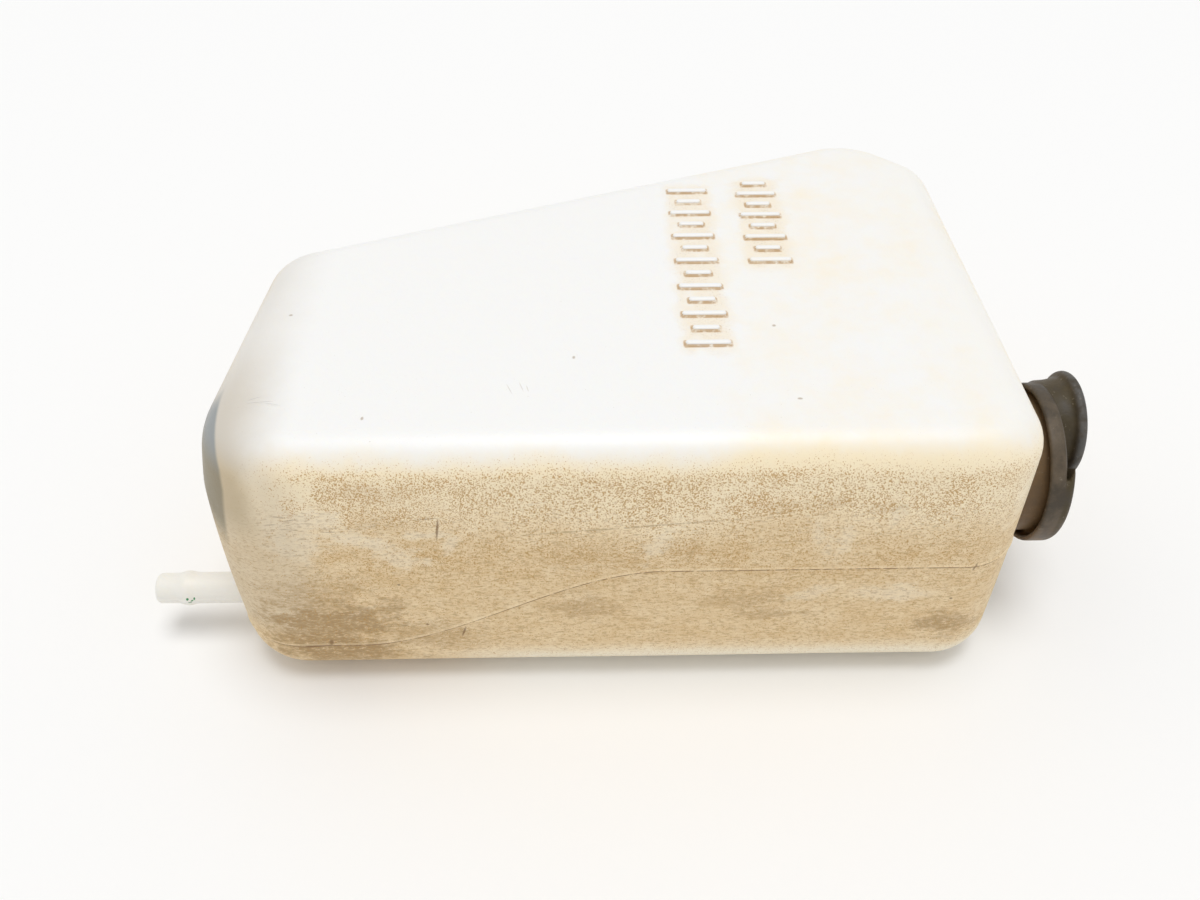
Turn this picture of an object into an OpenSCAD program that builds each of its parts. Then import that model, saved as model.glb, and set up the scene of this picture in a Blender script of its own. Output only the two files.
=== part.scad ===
// Coolant expansion tank, lying on its broad side, with the filler neck and its push-on cap to the
// right and the hose nipple to the left. Millimetres, Z up. The origin lies on the resting face,
// below the middle of the body.

/* [Body] */
// Length of the body along its front, between the two end walls
body_length = 160; // [130:1:200]
// Depth of the body from its front to its deepest corner, before that corner is rounded
body_depth = 119; // [105:1:140]
// Height of the body as it lies
body_height = 66; // [56:1:84]
// Depth of the narrow end, which carries the nipple
narrow_depth = 68; // [55:1:85]
// How far the narrow end wall leans in at its rear
narrow_rake = 6; // [0:0.5:12]
// How far the broad end wall leans in at its rear
broad_rake = 2; // [0:0.5:6]
// Length of the bevel at the deepest corner, along the front
bevel_run = 19; // [14:1:30]
// Depth of the bevel at the deepest corner
bevel_drop = 16; // [12:1:24]
// Thickness of the moulded wall
wall = 2; // [1.2:0.1:3]
// Outward bow of the narrow end wall at mid height
narrow_bow = 1.7; // [0:0.1:3]
// Outward bow of the broad end wall at mid height
broad_bow = 0.5; // [0:0.1:3]

/* [Corners and edges] */
// Upright corner radius between the front and the narrow end
front_narrow_r = 13.5; // [12:0.5:20]
// How much that corner's radius grows up to the top face
front_narrow_growth = 5; // [0:0.5:6]
// Height of the band below the top face over which it grows
front_narrow_growth_band = 17; // [8:1:30]
// Upright corner radius between the front and the broad end
front_broad_r = 12.5; // [12:0.5:22]
// Upright corner radius between the broad end and the bevel
bevel_r = 12; // [11.5:0.5:14]
// Upright corner radius at the deepest point
deepest_r = 17; // [12:0.5:22]
// Upright corner radius between the back and the narrow end
back_narrow_r = 12; // [11.5:0.5:20]
// Radius of the rolled edge round the top face
top_roll = 8; // [4:0.5:10]
// Radius of the rolled edge round the resting face
base_roll = 10.5; // [4:0.5:11]

/* [Parting seam] */
// How far the seam stands proud of the wall
seam_height = 0.35; // [0.2:0.05:0.8]
// Width of the seam at its crest
seam_crest = 0.4; // [0.3:0.05:0.8]
// Width of the seam where it meets the wall
seam_foot = 1; // [0.9:0.1:2]
// Distance from the narrow end at which the seam starts to rise
seam_rise_from = 26; // [18:1:40]
// Distance from the narrow end at which the seam has reached the level of the neck
seam_rise_to = 89; // [70:1:110]

/* [Filler neck] */
// Bore of the neck
neck_bore_d = 20; // [16:0.5:24]
// Wall of the neck
neck_wall = 2; // [1.5:0.1:3]
// Length of the neck outside the end wall
neck_length = 9.5; // [8:0.5:16]
// Distance of the neck's axis from the front
neck_from_front = 29.5; // [26:0.5:60]
// Height of the neck's axis above the resting face
neck_height = 34.6; // [30:0.2:42]
// How far the bead round the neck's mouth stands out
neck_bead = 0.8; // [0.4:0.1:1.2]
// Width of that bead along the neck
neck_bead_width = 2.4; // [1.6:0.2:4]
// Plain land between that bead and the mouth
neck_land = 0.3; // [0.2:0.1:1]
// Radius of the blend between the neck and the end wall
neck_blend = 2; // [1:0.5:3]

/* [Hose nipple] */
// Outer diameter of the nipple's stem
nipple_d = 6.8; // [6:0.1:8]
// Outer diameter of the land at the nipple's tip
tip_d = 6.6; // [6:0.1:8]
// Diameter of the bead that holds the hose
bead_d = 7.6; // [7.2:0.1:10.5]
// Bore of the nipple
nipple_bore_d = 4.2; // [3:0.1:4.6]
// Length of the nipple outside the end wall
nipple_length = 20; // [16:0.5:30]
// Distance of the bead's crest from the tip
bead_from_tip = 6.5; // [6:0.5:9]
// Length of the ramp on each side of that crest
bead_ramp = 2.4; // [1.6:0.1:3]
// Radius that rounds the tip
tip_round = 0.8; // [0.4:0.1:1]
// Distance of the nipple's axis from the front
nipple_from_front = 16; // [15.5:0.5:45]
// Height of the nipple's axis above the resting face
nipple_height = 12.4; // [12:0.1:30]
// Radius of the blend between the nipple and the end wall
nipple_blend = 1.6; // [0.8:0.2:2]

/* [Level scales] */
// Distance of the long scale's middle from the broad end
long_scale_from_end = 62; // [40:1:80]
// Distance of the long scale's first stroke from the front
long_scale_from_front = 31.5; // [20:0.5:60]
// Distance of its last stroke from the rolled edge at the back
long_scale_margin = 4.5; // [3:0.5:20]
// Distance of the short scale's middle from the broad end
short_scale_from_end = 46; // [26:1:48]
// Distance of the short scale's first stroke from the front
short_scale_from_front = 60.5; // [20:0.5:70]
// Distance of its last stroke from the rolled edge at the back
short_scale_margin = 7.5; // [3:0.5:20]
// Greatest distance between two strokes of a scale
stroke_pitch = 5; // [3.5:0.5:8]
// Length of a long stroke
long_stroke = 9; // [7:0.5:12]
// Length of a short stroke
short_stroke = 5.5; // [4:0.5:7]
// Width of a stroke
stroke_width = 1.3; // [0.8:0.1:2]
// How far a stroke stands proud of the top face
stroke_height = 0.6; // [0.3:0.1:1]

/* [Cap] */
// Outer diameter of the skirt
cap_d = 34; // [32:0.5:40]
// Wall of the skirt
skirt_wall = 1.2; // [0.9:0.1:2.4]
// Depth of the skirt, over the mouth of the neck
skirt_depth = 2.6; // [2:0.1:5]
// Thickness of the crown on its plain side
crown = 2.8; // [2.2:0.1:4]
// Thickness of the crown where the groove below the lip runs
groove_floor = 1; // [0.8:0.1:1.4]
// Radius that rounds the edge of the crown's plain side
crown_round = 0.6; // [0.3:0.1:1]
// Length of the plug inside the neck
plug_length = 8; // [6.5:0.5:9]
// Wall of the hollow plug, without its ribs
plug_wall = 2.2; // [1.6:0.1:2.8]
// Radius that rounds the end of the plug
plug_round = 1; // [0.4:0.1:1.4]
// Height of the two sealing ribs on the plug
rib = 0.5; // [0.3:0.1:0.8]
// Width of each sealing rib along the plug
rib_width = 2.4; // [1.4:0.1:2.6]
// Clearance between the ribs and the bore of the neck
plug_clearance = 0.3; // [0.2:0.05:0.5]

/* [Collar inside the cap] */
// Length of the collar over the outside of the neck, from its mouth back
collar_length = 6.4; // [4:0.2:7]
// Wall of the collar
collar_wall = 1.5; // [1.1:0.1:1.6]
// Clearance between the collar and the bead of the neck
collar_clearance = 0.3; // [0.2:0.05:0.4]

/* [Pull lip] */
// Diameter of the round pull lip
lip_d = 23; // [21:0.5:26]
// Diameter of the waist below the lip
waist_d = 19; // [16:0.5:20]
// Distance of the lip's axis from the cap's axis
lip_offset = 8; // [6:0.5:9]
// Direction of the lip, from straight up towards the back
lip_turn = 43; // [0:1:90]
// Height of the lip over the edge of the skirt
lip_rise = 10.4; // [8:0.2:13]
// Thickness of the lip at its rim
lip_edge = 2.4; // [1.6:0.1:3]
// Radius that rounds the rim of the lip
lip_round = 0.8; // [0.4:0.1:1.2]
// Width of the plain rim round the dish
lip_rim = 2.9; // [2:0.1:4]
// Depth of the dish in the face of the lip
dish = 1.4; // [0.6:0.1:2]
// How far the crown's plain side reaches in below the lip
groove_reach = 1; // [0:0.1:2]
// Radius of the hollow blend between the crown's plain side and the lip
foot_blend = 1.5; // [0.5:0.1:2.5]

/* [Hidden] */

// Steps of each upright corner, each rolled edge and each blend
corner_steps = 10;
roll_steps = 8;
wall_steps = 6;
blend_steps = 6;
// Steps of the seam along the front and the back, and along the short walls
seam_long_steps = 34;
seam_short_steps = 4;
// Overlap that joins two solids of one moulding, or carries a cut through a face
joint = 0.6;
// How quickly the waist of the pull lip flares: 1 is a straight cone
flare_power = 2.4;
rib_count = 2;
$fn = 96;

front_y = -body_depth / 2;
smallest_corner = min(front_narrow_r, front_broad_r, bevel_r, deepest_r, back_narrow_r);
top_edge = min(top_roll, smallest_corner - 0.5);
base_edge = min(base_roll, smallest_corner - 0.5);

neck_y = front_y + neck_from_front;
neck_outer_r = neck_bore_d / 2 + neck_wall;
nipple_y = front_y + nipple_from_front;

// Smooth step from 0 to 1
function ease(t) = let (s = max(0, min(1, t))) s * s * (3 - 2 * s);
// Bow of an end wall at a height, largest at mid height
function bowed(bow, z) = 4 * bow * (z / body_height) * (1 - z / body_height);
// Radius of the front corner at the narrow end, which grows towards the top face
function front_narrow_corner(z) =
    front_narrow_r + front_narrow_growth * ease(1 - (body_height - z) / front_narrow_growth_band);

// Sharp corners of the plan at a height, anticlockwise from the front of the narrow end: x, y, radius
function plan(z) = [
    [-body_length / 2 - bowed(narrow_bow, z), front_y, front_narrow_corner(z)],
    [body_length / 2 + bowed(broad_bow, z), front_y, front_broad_r],
    [body_length / 2 - broad_rake + bowed(broad_bow, z), -front_y - bevel_drop, bevel_r],
    [body_length / 2 - bevel_run, -front_y, deepest_r],
    [-body_length / 2 + narrow_rake - bowed(narrow_bow, z), front_y + narrow_depth, back_narrow_r]
];

function xy(p) = [p[0], p[1]];
function unit(v) = v / norm(v);
// Outward normal of the wall that runs from a to b
function outward(a, b) = let (d = unit(xy(b) - xy(a))) [d[1], -d[0]];
// Centre of the arc that rounds the corner p between its neighbours a and b
function arc_centre(a, p, b) =
    let (n = outward(a, p), m = outward(p, b))
    xy(p) - (n + m) * p[2] / (1 + n * m);
// Points of one rounded corner, set in from the wall by inset
function corner_arc(a, p, b, inset) =
    let (n = outward(a, p),
         m = outward(p, b),
         c = arc_centre(a, p, b),
         from = atan2(n[1], n[0]),
         turn = acos(n * m))
    [for (i = [0 : corner_steps])
        c + (p[2] - inset) * [cos(from + turn * i / corner_steps), sin(from + turn * i / corner_steps)]];
// Outline of the body at a height, set in from the wall by inset
function outline(z, inset) =
    let (c = plan(z), n = len(c))
    [for (k = [0 : n - 1])
        each corner_arc(c[(k + n - 1) % n], c[k], c[(k + 1) % n], inset)];

// Heights and insets of the sections of a skin, from the resting face to the top. The skin lies
// inside the outer surface by its depth.
function base_sections(depth) =
    [for (i = [roll_steps : -1 : 0])
        let (a = 90 * i / roll_steps, r = base_edge - depth)
        [depth + r * (1 - sin(a)), depth + r * (1 - cos(a))]];
function wall_sections(depth) =
    [for (i = [1 : wall_steps - 1])
        [base_edge + (body_height - top_edge - base_edge) * i / wall_steps, depth]];
function top_sections(depth) =
    [for (i = [0 : roll_steps])
        let (a = 90 * i / roll_steps, r = top_edge - depth)
        [body_height - depth - r * (1 - sin(a)), depth + r * (1 - cos(a))]];
function sections(depth) = concat(base_sections(depth), wall_sections(depth), top_sections(depth));

// Solid inside a stack of closed outlines that all have the same number of points
module loft(rings) {
    n = len(rings[0]);
    last = len(rings) - 1;
    bottom = [for (i = [0 : n - 1]) i];
    top = [for (i = [n - 1 : -1 : 0]) last * n + i];
    sides = [for (k = [0 : last - 1], i = [0 : n - 1])
        let (j = (i + 1) % n, a = k * n + i, b = k * n + j, c = a + n, d = b + n)
        each [[a, c, d], [a, d, b]]];
    polyhedron(points = [for (r = rings) each r], faces = concat([bottom, top], sides));
}

// The body's outer surface, or with a depth its inner one
module skin(depth) {
    loft([for (s = sections(depth)) [for (p = outline(s[0], s[1])) [p[0], p[1], s[0]]]]);
}

// Height of the parting seam at a place along the body: level at the nipple, level at the neck
function seam_z(x) =
    let (t = (x + body_length / 2 - seam_rise_from) / (seam_rise_to - seam_rise_from))
    nipple_height + (neck_height - nipple_height) * ease(t);

// Places round the body's outline with steps along each straight wall, at a height and an inset
function steps_between(a, b, count) = [for (i = [1 : count - 1]) a + (b - a) * i / count];
function stepped_outline(z, inset) =
    let (c = plan(z),
         n = len(c),
         arcs = [for (k = [0 : n - 1]) corner_arc(c[(k + n - 1) % n], c[k], c[(k + 1) % n], inset)])
    [for (k = [0 : n - 1]) each concat(
        arcs[k],
        steps_between(arcs[k][corner_steps], arcs[(k + 1) % n][0],
            k == 0 || k == 3 ? seam_long_steps : seam_short_steps))];
// One edge line of the seam, raised by rise and set in by inset
function seam_line(rise, inset) =
    let (places = stepped_outline(body_height / 2, inset))
    [for (i = [0 : len(places) - 1])
        let (z = seam_z(places[i][0]) + rise, p = stepped_outline(z, inset)[i])
        [p[0], p[1], z]];

// The raised line where the two halves of the mould met
module parting_seam() {
    lines = [
        seam_line(-seam_foot / 2, joint),
        seam_line(-seam_foot / 2, 0),
        seam_line(-seam_crest / 2, -seam_height),
        seam_line(seam_crest / 2, -seam_height),
        seam_line(seam_foot / 2, 0),
        seam_line(seam_foot / 2, joint)
    ];
    m = len(lines);
    n = len(lines[0]);
    polyhedron(
        points = [for (l = lines) each l],
        faces = [for (k = [0 : m - 1], i = [0 : n - 1])
            let (j = (i + 1) % n, l = (k + 1) % m,
                 a = k * n + i, b = k * n + j, c = l * n + i, d = l * n + j)
            each [[a, c, d], [a, d, b]]]);
}

// Where an end wall stands at a distance from the front and a height
function wall_x(a, b, y) = a[0] + (b[0] - a[0]) * (y - a[1]) / (b[1] - a[1]);
function narrow_wall_x(y, z) = let (c = plan(z)) wall_x(c[0], c[4], y);
function broad_wall_x(y, z) = let (c = plan(z)) wall_x(c[1], c[2], y);
neck_root_x = broad_wall_x(neck_y, neck_height);
neck_mouth_x = neck_root_x + neck_length;
nipple_root_x = narrow_wall_x(nipple_y, nipple_height);

// Profile points of a hollow blend from a wall to a tube, from the wall outwards
function blend(r, radius) =
    [for (i = [0 : blend_steps])
        let (a = 90 * i / blend_steps)
        [r + radius * (1 - sin(a)), radius * (1 - cos(a))]];
// Profile points of a bead on a tube, from start to end, standing out by rise
function bead(r, start, end, rise) =
    [for (i = [0 : blend_steps * 2])
        let (t = i / (blend_steps * 2))
        [r + rise * (1 - cos(360 * t)) / 2, start + (end - start) * t]];

// Turns a profile of radius and distance about an axis that runs along X
module turned_right(x, y, z) {
    translate([x, y, z]) rotate([0, 90, 0]) rotate_extrude() children();
}
module turned_left(x, y, z) {
    translate([x, y, z]) rotate([0, -90, 0]) rotate_extrude() children();
}

// Outside of the filler neck, with a bead round its mouth
module neck_outside() {
    turned_right(neck_root_x, neck_y, neck_height)
        polygon(concat(
            [[0, -2 * wall], [neck_outer_r + neck_blend, -2 * wall]],
            blend(neck_outer_r, neck_blend),
            bead(neck_outer_r, neck_length - neck_land - neck_bead_width, neck_length - neck_land,
                neck_bead),
            [[neck_outer_r, neck_length], [0, neck_length]]));
}

// Outside of the hose nipple, from the end wall to its rounded tip
module nipple_outside() {
    stem_r = nipple_d / 2;
    tip_r = tip_d / 2;
    crest = nipple_length - bead_from_tip;
    turned_left(nipple_root_x, nipple_y, nipple_height)
        polygon(concat(
            [[0, -2 * wall], [stem_r + nipple_blend, -2 * wall]],
            blend(stem_r, nipple_blend),
            [for (i = [0 : blend_steps])
                let (t = i / blend_steps)
                [stem_r + (bead_d / 2 - stem_r) * ease(t), crest - bead_ramp * (1 - t)]],
            [for (i = [1 : blend_steps])
                let (t = i / blend_steps)
                [bead_d / 2 + (tip_r - bead_d / 2) * ease(t), crest + bead_ramp * t]],
            [for (i = [0 : blend_steps])
                let (a = 90 * i / blend_steps)
                [tip_r - tip_round * (1 - cos(a)), nipple_length - tip_round * (1 - sin(a))]],
            [[0, nipple_length]]));
}

// One raised stroke of a scale, along X, with round ends
module stroke(length) {
    straight = length - stroke_width;
    translate([0, 0, -joint])
        linear_extrude(joint + stroke_height) {
            square([straight, stroke_width], center = true);
            for (end = [-1, 1])
                translate([end * straight / 2, 0])
                    circle(d = stroke_width);
        }
}

// Where the flat of the top face ends at the back, at a place along the body
function face_back_y(x) =
    let (c = plan(body_height),
         slope = (c[3][1] - c[4][1]) / (c[3][0] - c[4][0]))
    c[4][1] + slope * (x - c[4][0]) - top_edge * sqrt(1 + slope * slope);

// Plain raised scale on the top face: even strokes front to back, the odd ones shorter
module level_scale(from_end, from_front, margin) {
    x = body_length / 2 - from_end;
    first = front_y + from_front;
    last = face_back_y(x) - margin;
    gaps = ceil((last - first) / stroke_pitch);
    for (k = [0 : gaps])
        translate([x, first + (last - first) * k / gaps, body_height])
            stroke(k % 2 == 0 ? long_stroke : short_stroke);
}

// The blow-moulded tank, with its neck and its nipple in one piece and hollow all through
module tank_body() {
    color("ivory")
        difference() {
            union() {
                skin(0);
                parting_seam();
                neck_outside();
                nipple_outside();
                level_scale(long_scale_from_end, long_scale_from_front, long_scale_margin);
                level_scale(short_scale_from_end, short_scale_from_front, short_scale_margin);
            }
            skin(wall);
            translate([neck_root_x - 3 * wall, neck_y, neck_height])
                rotate([0, 90, 0])
                    cylinder(d = neck_bore_d, h = neck_length + 3 * wall + joint);
            translate([nipple_root_x + 3 * wall, nipple_y, nipple_height])
                rotate([0, -90, 0])
                    cylinder(d = nipple_bore_d, h = nipple_length + 3 * wall + joint);
        }
}

// The cap's own distances, from the face of the neck's mouth outwards
skirt_edge = -skirt_depth;
crown_face = crown;
lip_face = lip_rise - skirt_depth;
lip_r = lip_d / 2;
waist_r = waist_d / 2;
// Where the flare below the lip meets its rim
flare_end = lip_face - lip_edge;
plug_r = neck_bore_d / 2 - plug_clearance - rib;
rib_pitch = (plug_length - plug_round) / rib_count;
// The groove below the lip reaches across the cap's axis, up to this far from it
groove_edge = lip_r - lip_offset - groove_reach;

// Skirt, crown and hollow plug with its sealing ribs, turned as one
module cap_turned() {
    skirt_r = cap_d / 2;
    edge_round = skirt_wall / 2;
    turned_right(neck_mouth_x, neck_y, neck_height)
        polygon(concat(
            [[0, 0], [plug_r - plug_wall, 0], [plug_r - plug_wall, -plug_length]],
            [for (i = [0 : blend_steps])
                let (a = 90 * i / blend_steps)
                [plug_r - plug_round * (1 - sin(a)), -plug_length + plug_round * (1 - cos(a))]],
            [for (k = [rib_count : -1 : 1])
                let (middle = (0.5 - k) * rib_pitch)
                each bead(plug_r, middle - rib_width / 2, middle + rib_width / 2, rib)],
            [[plug_r, 0], [skirt_r - skirt_wall, 0]],
            [for (i = [0 : 2 * blend_steps])
                let (a = 180 * i / (2 * blend_steps))
                [skirt_r - edge_round * (1 + cos(a)), skirt_edge + edge_round * (1 - sin(a))]],
            [for (i = [0 : blend_steps])
                let (a = 90 * i / blend_steps)
                [skirt_r - crown_round * (1 - cos(a)), crown_face - crown_round * (1 - sin(a))]],
            [[0, crown_face]]));
}

// Collar that covers the outside of the neck, with a round end
module cap_collar() {
    collar_r = neck_outer_r + neck_bead + collar_clearance;
    end_round = collar_wall / 2;
    turned_right(neck_mouth_x, neck_y, neck_height)
        polygon(concat(
            [[collar_r, joint]],
            [for (i = [0 : 2 * blend_steps])
                let (a = 180 * i / (2 * blend_steps))
                [collar_r + end_round * (1 - cos(a)), -collar_length + end_round * (1 - sin(a))]],
            [[collar_r + collar_wall, joint]]));
}

// Space that is left out of the crown on the side of the lip, down to the floor of the groove
module groove() {
    translate([neck_mouth_x, neck_y, neck_height])
        rotate([-lip_turn, 0, 0])
            translate([groove_floor, -cap_d, -groove_edge])
                cube([crown, 2 * cap_d, 2 * cap_d]);
}

// Turns a profile about the axis of the pull lip
module turned_lip() {
    turned_right(neck_mouth_x,
                 neck_y + lip_offset * sin(lip_turn),
                 neck_height + lip_offset * cos(lip_turn))
        children();
}

// Round pull lip on its waist, off the cap's axis, with a hollow flare below and a dish in its face
module pull_lip() {
    flare_start = groove_floor / 2;
    turned_lip()
        polygon(concat(
            [[0, flare_start]],
            [for (i = [0 : 2 * blend_steps])
                let (t = i / (2 * blend_steps))
                [waist_r + (lip_r - waist_r) * pow(t, flare_power),
                 flare_start + (flare_end - flare_start) * t]],
            [for (i = [1 : blend_steps])
                let (a = 90 * i / blend_steps)
                [lip_r - lip_round * (1 - cos(a)), lip_face - lip_round * (1 - sin(a))]],
            [for (i = [0 : 2 * blend_steps])
                let (t = i / (2 * blend_steps))
                [(lip_r - lip_rim) * (1 - t), lip_face - dish * ease(2 * t)]]));
}

// Foot that carries the lip where it stands over the crown's plain side, up to the side of its waist
module lip_foot() {
    blend_r = min(foot_blend, flare_end - crown_face);
    intersection() {
        turned_lip()
            polygon(concat(
                [[0, crown_face - joint], [lip_r + blend_r, crown_face - joint]],
                [for (p = blend(lip_r, blend_r)) [p[0], crown_face + p[1]]],
                [[lip_r, flare_end + joint], [0, flare_end + joint]]));
        translate([neck_mouth_x, neck_y, neck_height])
            rotate([-lip_turn, 0, 0])
                translate([0, -cap_d, -cap_d])
                    cube([lip_rise, 2 * cap_d, cap_d + lip_offset - waist_r]);
    }
}

// The rubber cap, one moulding
module filler_cap() {
    color([0.27, 0.25, 0.22])
        union() {
            difference() {
                cap_turned();
                groove();
            }
            cap_collar();
            pull_lip();
            lip_foot();
        }
}

tank_body();
filler_cap();
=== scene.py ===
"""Looks of the coolant expansion tank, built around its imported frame.

Lengths are in metres in the frame's own axes: X runs towards the filler neck, Y to the back and Z up.
Places in the finishes are in millimetres.
"""

import logging
import math
from dataclasses import dataclass
from enum import Enum
from functools import reduce
from typing import Callable, Optional, Sequence, Union

import bmesh
import bpy
import numpy as np
from mathutils import Matrix, Vector, noise


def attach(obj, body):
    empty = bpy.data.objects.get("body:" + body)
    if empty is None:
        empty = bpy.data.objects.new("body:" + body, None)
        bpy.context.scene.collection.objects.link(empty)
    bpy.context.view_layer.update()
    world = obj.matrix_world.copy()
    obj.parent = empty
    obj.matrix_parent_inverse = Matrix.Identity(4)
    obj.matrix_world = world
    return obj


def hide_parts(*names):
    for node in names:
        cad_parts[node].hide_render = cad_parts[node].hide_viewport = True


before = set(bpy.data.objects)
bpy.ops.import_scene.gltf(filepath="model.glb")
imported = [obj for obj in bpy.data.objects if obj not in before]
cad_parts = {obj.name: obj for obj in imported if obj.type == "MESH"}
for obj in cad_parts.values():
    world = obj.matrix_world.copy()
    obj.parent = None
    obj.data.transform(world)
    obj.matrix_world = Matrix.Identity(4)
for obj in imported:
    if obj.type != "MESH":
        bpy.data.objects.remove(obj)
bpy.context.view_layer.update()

log = logging.getLogger("tank")

MM = 0.001

Point = tuple[float, float, float]
Colour = tuple[float, float, float]
Profile = list[tuple[float, float]]
Piece = bpy.types.Object
Socket = bpy.types.NodeSocket
Value = Union[float, Sequence[float], Socket, "Num"]


class Body(Enum):
    """Bodies of the frame that a piece can ride on."""

    TANK = "tank"
    CAP = "cap"


class Slot(Enum):
    """Material slots of the record."""

    TANK = "tank_polyethylene"
    CAP = "cap_rubber"


class Cut(Enum):
    """Ways to join a second solid to a first."""

    ADD = "UNION"
    REMOVE = "DIFFERENCE"
    KEEP = "INTERSECT"


# Meshes

def link_new(name: str, data: bpy.types.ID) -> Piece:
    """Makes an object from its data and links it to the scene."""
    made = bpy.data.objects.new(name, data)
    bpy.context.scene.collection.objects.link(made)
    return made


def new_piece(name: str, points: Sequence[Sequence[float]], faces: Sequence[Sequence[int]]) -> Piece:
    """Makes a piece from points and faces, at the origin.

    Args:
        name: Name of the piece.
        points: Corners in metres.
        faces: Corner numbers of each face.

    Returns:
        The new piece.
    """
    mesh = bpy.data.meshes.new(name)
    mesh.from_pydata([tuple(p) for p in points], [], [tuple(f) for f in faces])
    mesh.update()
    return link_new(name, mesh)


def tidy_mesh(piece: Piece, merge: float = 0.002 * MM) -> None:
    """Merges a piece's doubled corners and points its faces outwards.

    Args:
        piece: The piece that is tidied.
        merge: Distance under which corners are one.
    """
    work = bmesh.new()
    work.from_mesh(piece.data)
    bmesh.ops.remove_doubles(work, verts=work.verts, dist=merge)
    bmesh.ops.dissolve_degenerate(work, edges=work.edges, dist=merge / 4)
    bmesh.ops.recalc_face_normals(work, faces=work.faces)
    work.to_mesh(piece.data)
    work.free()


def settle(piece: Piece) -> None:
    """Turns a piece's live modifiers into its plain mesh."""
    bpy.context.view_layer.update()
    evaluated = piece.evaluated_get(bpy.context.evaluated_depsgraph_get())
    mesh = bpy.data.meshes.new_from_object(evaluated)
    piece.modifiers.clear()
    piece.data = mesh


def combine(piece: Piece, cut: Cut, *others: Piece) -> None:
    """Joins closed solids to another one by one, and removes them from the scene.

    Args:
        piece: The solid that stays.
        cut: Whether the others are added to it, removed from it, or the only space that is kept.
        *others: The solids that are used up.
    """
    for other in others:
        modifier = piece.modifiers.new(cut.name.lower(), "BOOLEAN")
        modifier.operation = cut.value
        modifier.solver = "MANIFOLD"
        modifier.object = other
        settle(piece)
        bpy.data.objects.remove(other, do_unlink=True)


def give_finish(piece: Piece, finish: bpy.types.Material) -> None:
    """Makes a finish the piece's only one."""
    piece.data.materials.clear()
    piece.data.materials.append(finish)


def smooth_shade(piece: Piece, sharp_angle: float = 38.0) -> None:
    """Shades a piece smooth, but keeps edges above an angle in degrees sharp."""
    piece.data.shade_smooth()
    piece.data.set_sharp_from_angle(angle=math.radians(sharp_angle))


def ease(t: np.ndarray) -> np.ndarray:
    """Smooth step from 0 to 1."""
    s = np.clip(t, 0.0, 1.0)
    return s * s * (3.0 - 2.0 * s)


def split(end: float, steps: int) -> list[float]:
    """Even steps from 0 to an end."""
    return [end * i / steps for i in range(steps + 1)]


def inner_shares(count: int) -> np.ndarray:
    """Even shares from 0 to 1, without these two."""
    return np.linspace(0, 1, count)[1:-1]


def ring_faces(rings: int, count: int, start: int = 0) -> list[tuple[int, ...]]:
    """Faces between closed rings of corners.

    Args:
        rings: Number of rings, which follow one another in the mesh.
        count: Number of corners of each ring.
        start: Number of the first ring's first corner.

    Returns:
        The corner numbers of each face.
    """
    faces = []
    for first in range(start, start + (rings - 1) * count, count):
        for i in range(count):
            a, b = first + i, first + (i + 1) % count
            faces.append((a, b, b + count, a + count))
    return faces


# Profiles, as distances from the axis and along it

def hollow_blend(radius: float, blend: float, steps: int = 10) -> Profile:
    """Hollow blend from a wall to a tube, from the wall outwards."""
    return [(radius + blend * (1 - math.sin(a)), blend * (1 - math.cos(a))) for a in split(math.pi / 2, steps)]


def bead(radius: float, start: float, end: float, rise: float, steps: int = 14) -> Profile:
    """Rounded bead on a tube, from start to end, standing out by rise."""
    return [(radius + rise * (1 - math.cos(2 * math.pi * t)) / 2, start + (end - start) * t)
            for t in split(1.0, steps)]


def arc(centre: tuple[float, float], radius: float, start: float, end: float, steps: int = 8) -> Profile:
    """Arc between two angles in degrees from the radial direction."""
    turns = [math.radians(start + a) for a in split(end - start, steps)]
    return [(centre[0] + radius * math.cos(a), centre[1] + radius * math.sin(a)) for a in turns]


# Node trees

class Num:
    """A number in a node tree, gain * socket + shift, that works with +, - and *."""

    def __init__(self, graph: "Graph", socket: Socket, gain: float = 1.0, shift: float = 0.0) -> None:
        """Takes a socket of the tree as a number."""
        self.graph, self.socket, self.gain, self.shift = graph, socket, gain, shift

    def out(self) -> Socket:
        """Gives the number as a socket, with a node of its own where it needs one."""
        if (self.gain, self.shift) != (1.0, 0.0):
            node = self.graph.add("ShaderNodeMath", {0: self.socket, 1: self.gain, 2: self.shift},
                                  operation="MULTIPLY_ADD")
            self.socket, self.gain, self.shift = node.outputs[0], 1.0, 0.0
        return self.socket

    def __add__(self, other: Union["Num", float]) -> "Num":
        """Sum of two numbers."""
        if isinstance(other, Num):
            return self.graph.math("ADD", self, other)
        return Num(self.graph, self.socket, self.gain, self.shift + other)

    def __mul__(self, other: Union["Num", float]) -> "Num":
        """Product of two numbers."""
        if isinstance(other, Num):
            return self.graph.math("MULTIPLY", self, other)
        return Num(self.graph, self.socket, self.gain * other, self.shift * other)

    def __sub__(self, other: Union["Num", float]) -> "Num":
        """Difference of two numbers."""
        return self + other * -1.0

    def __rsub__(self, other: float) -> "Num":
        """Difference of a plain number and this one."""
        return self * -1.0 + other

    __radd__, __rmul__ = __add__, __mul__


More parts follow.
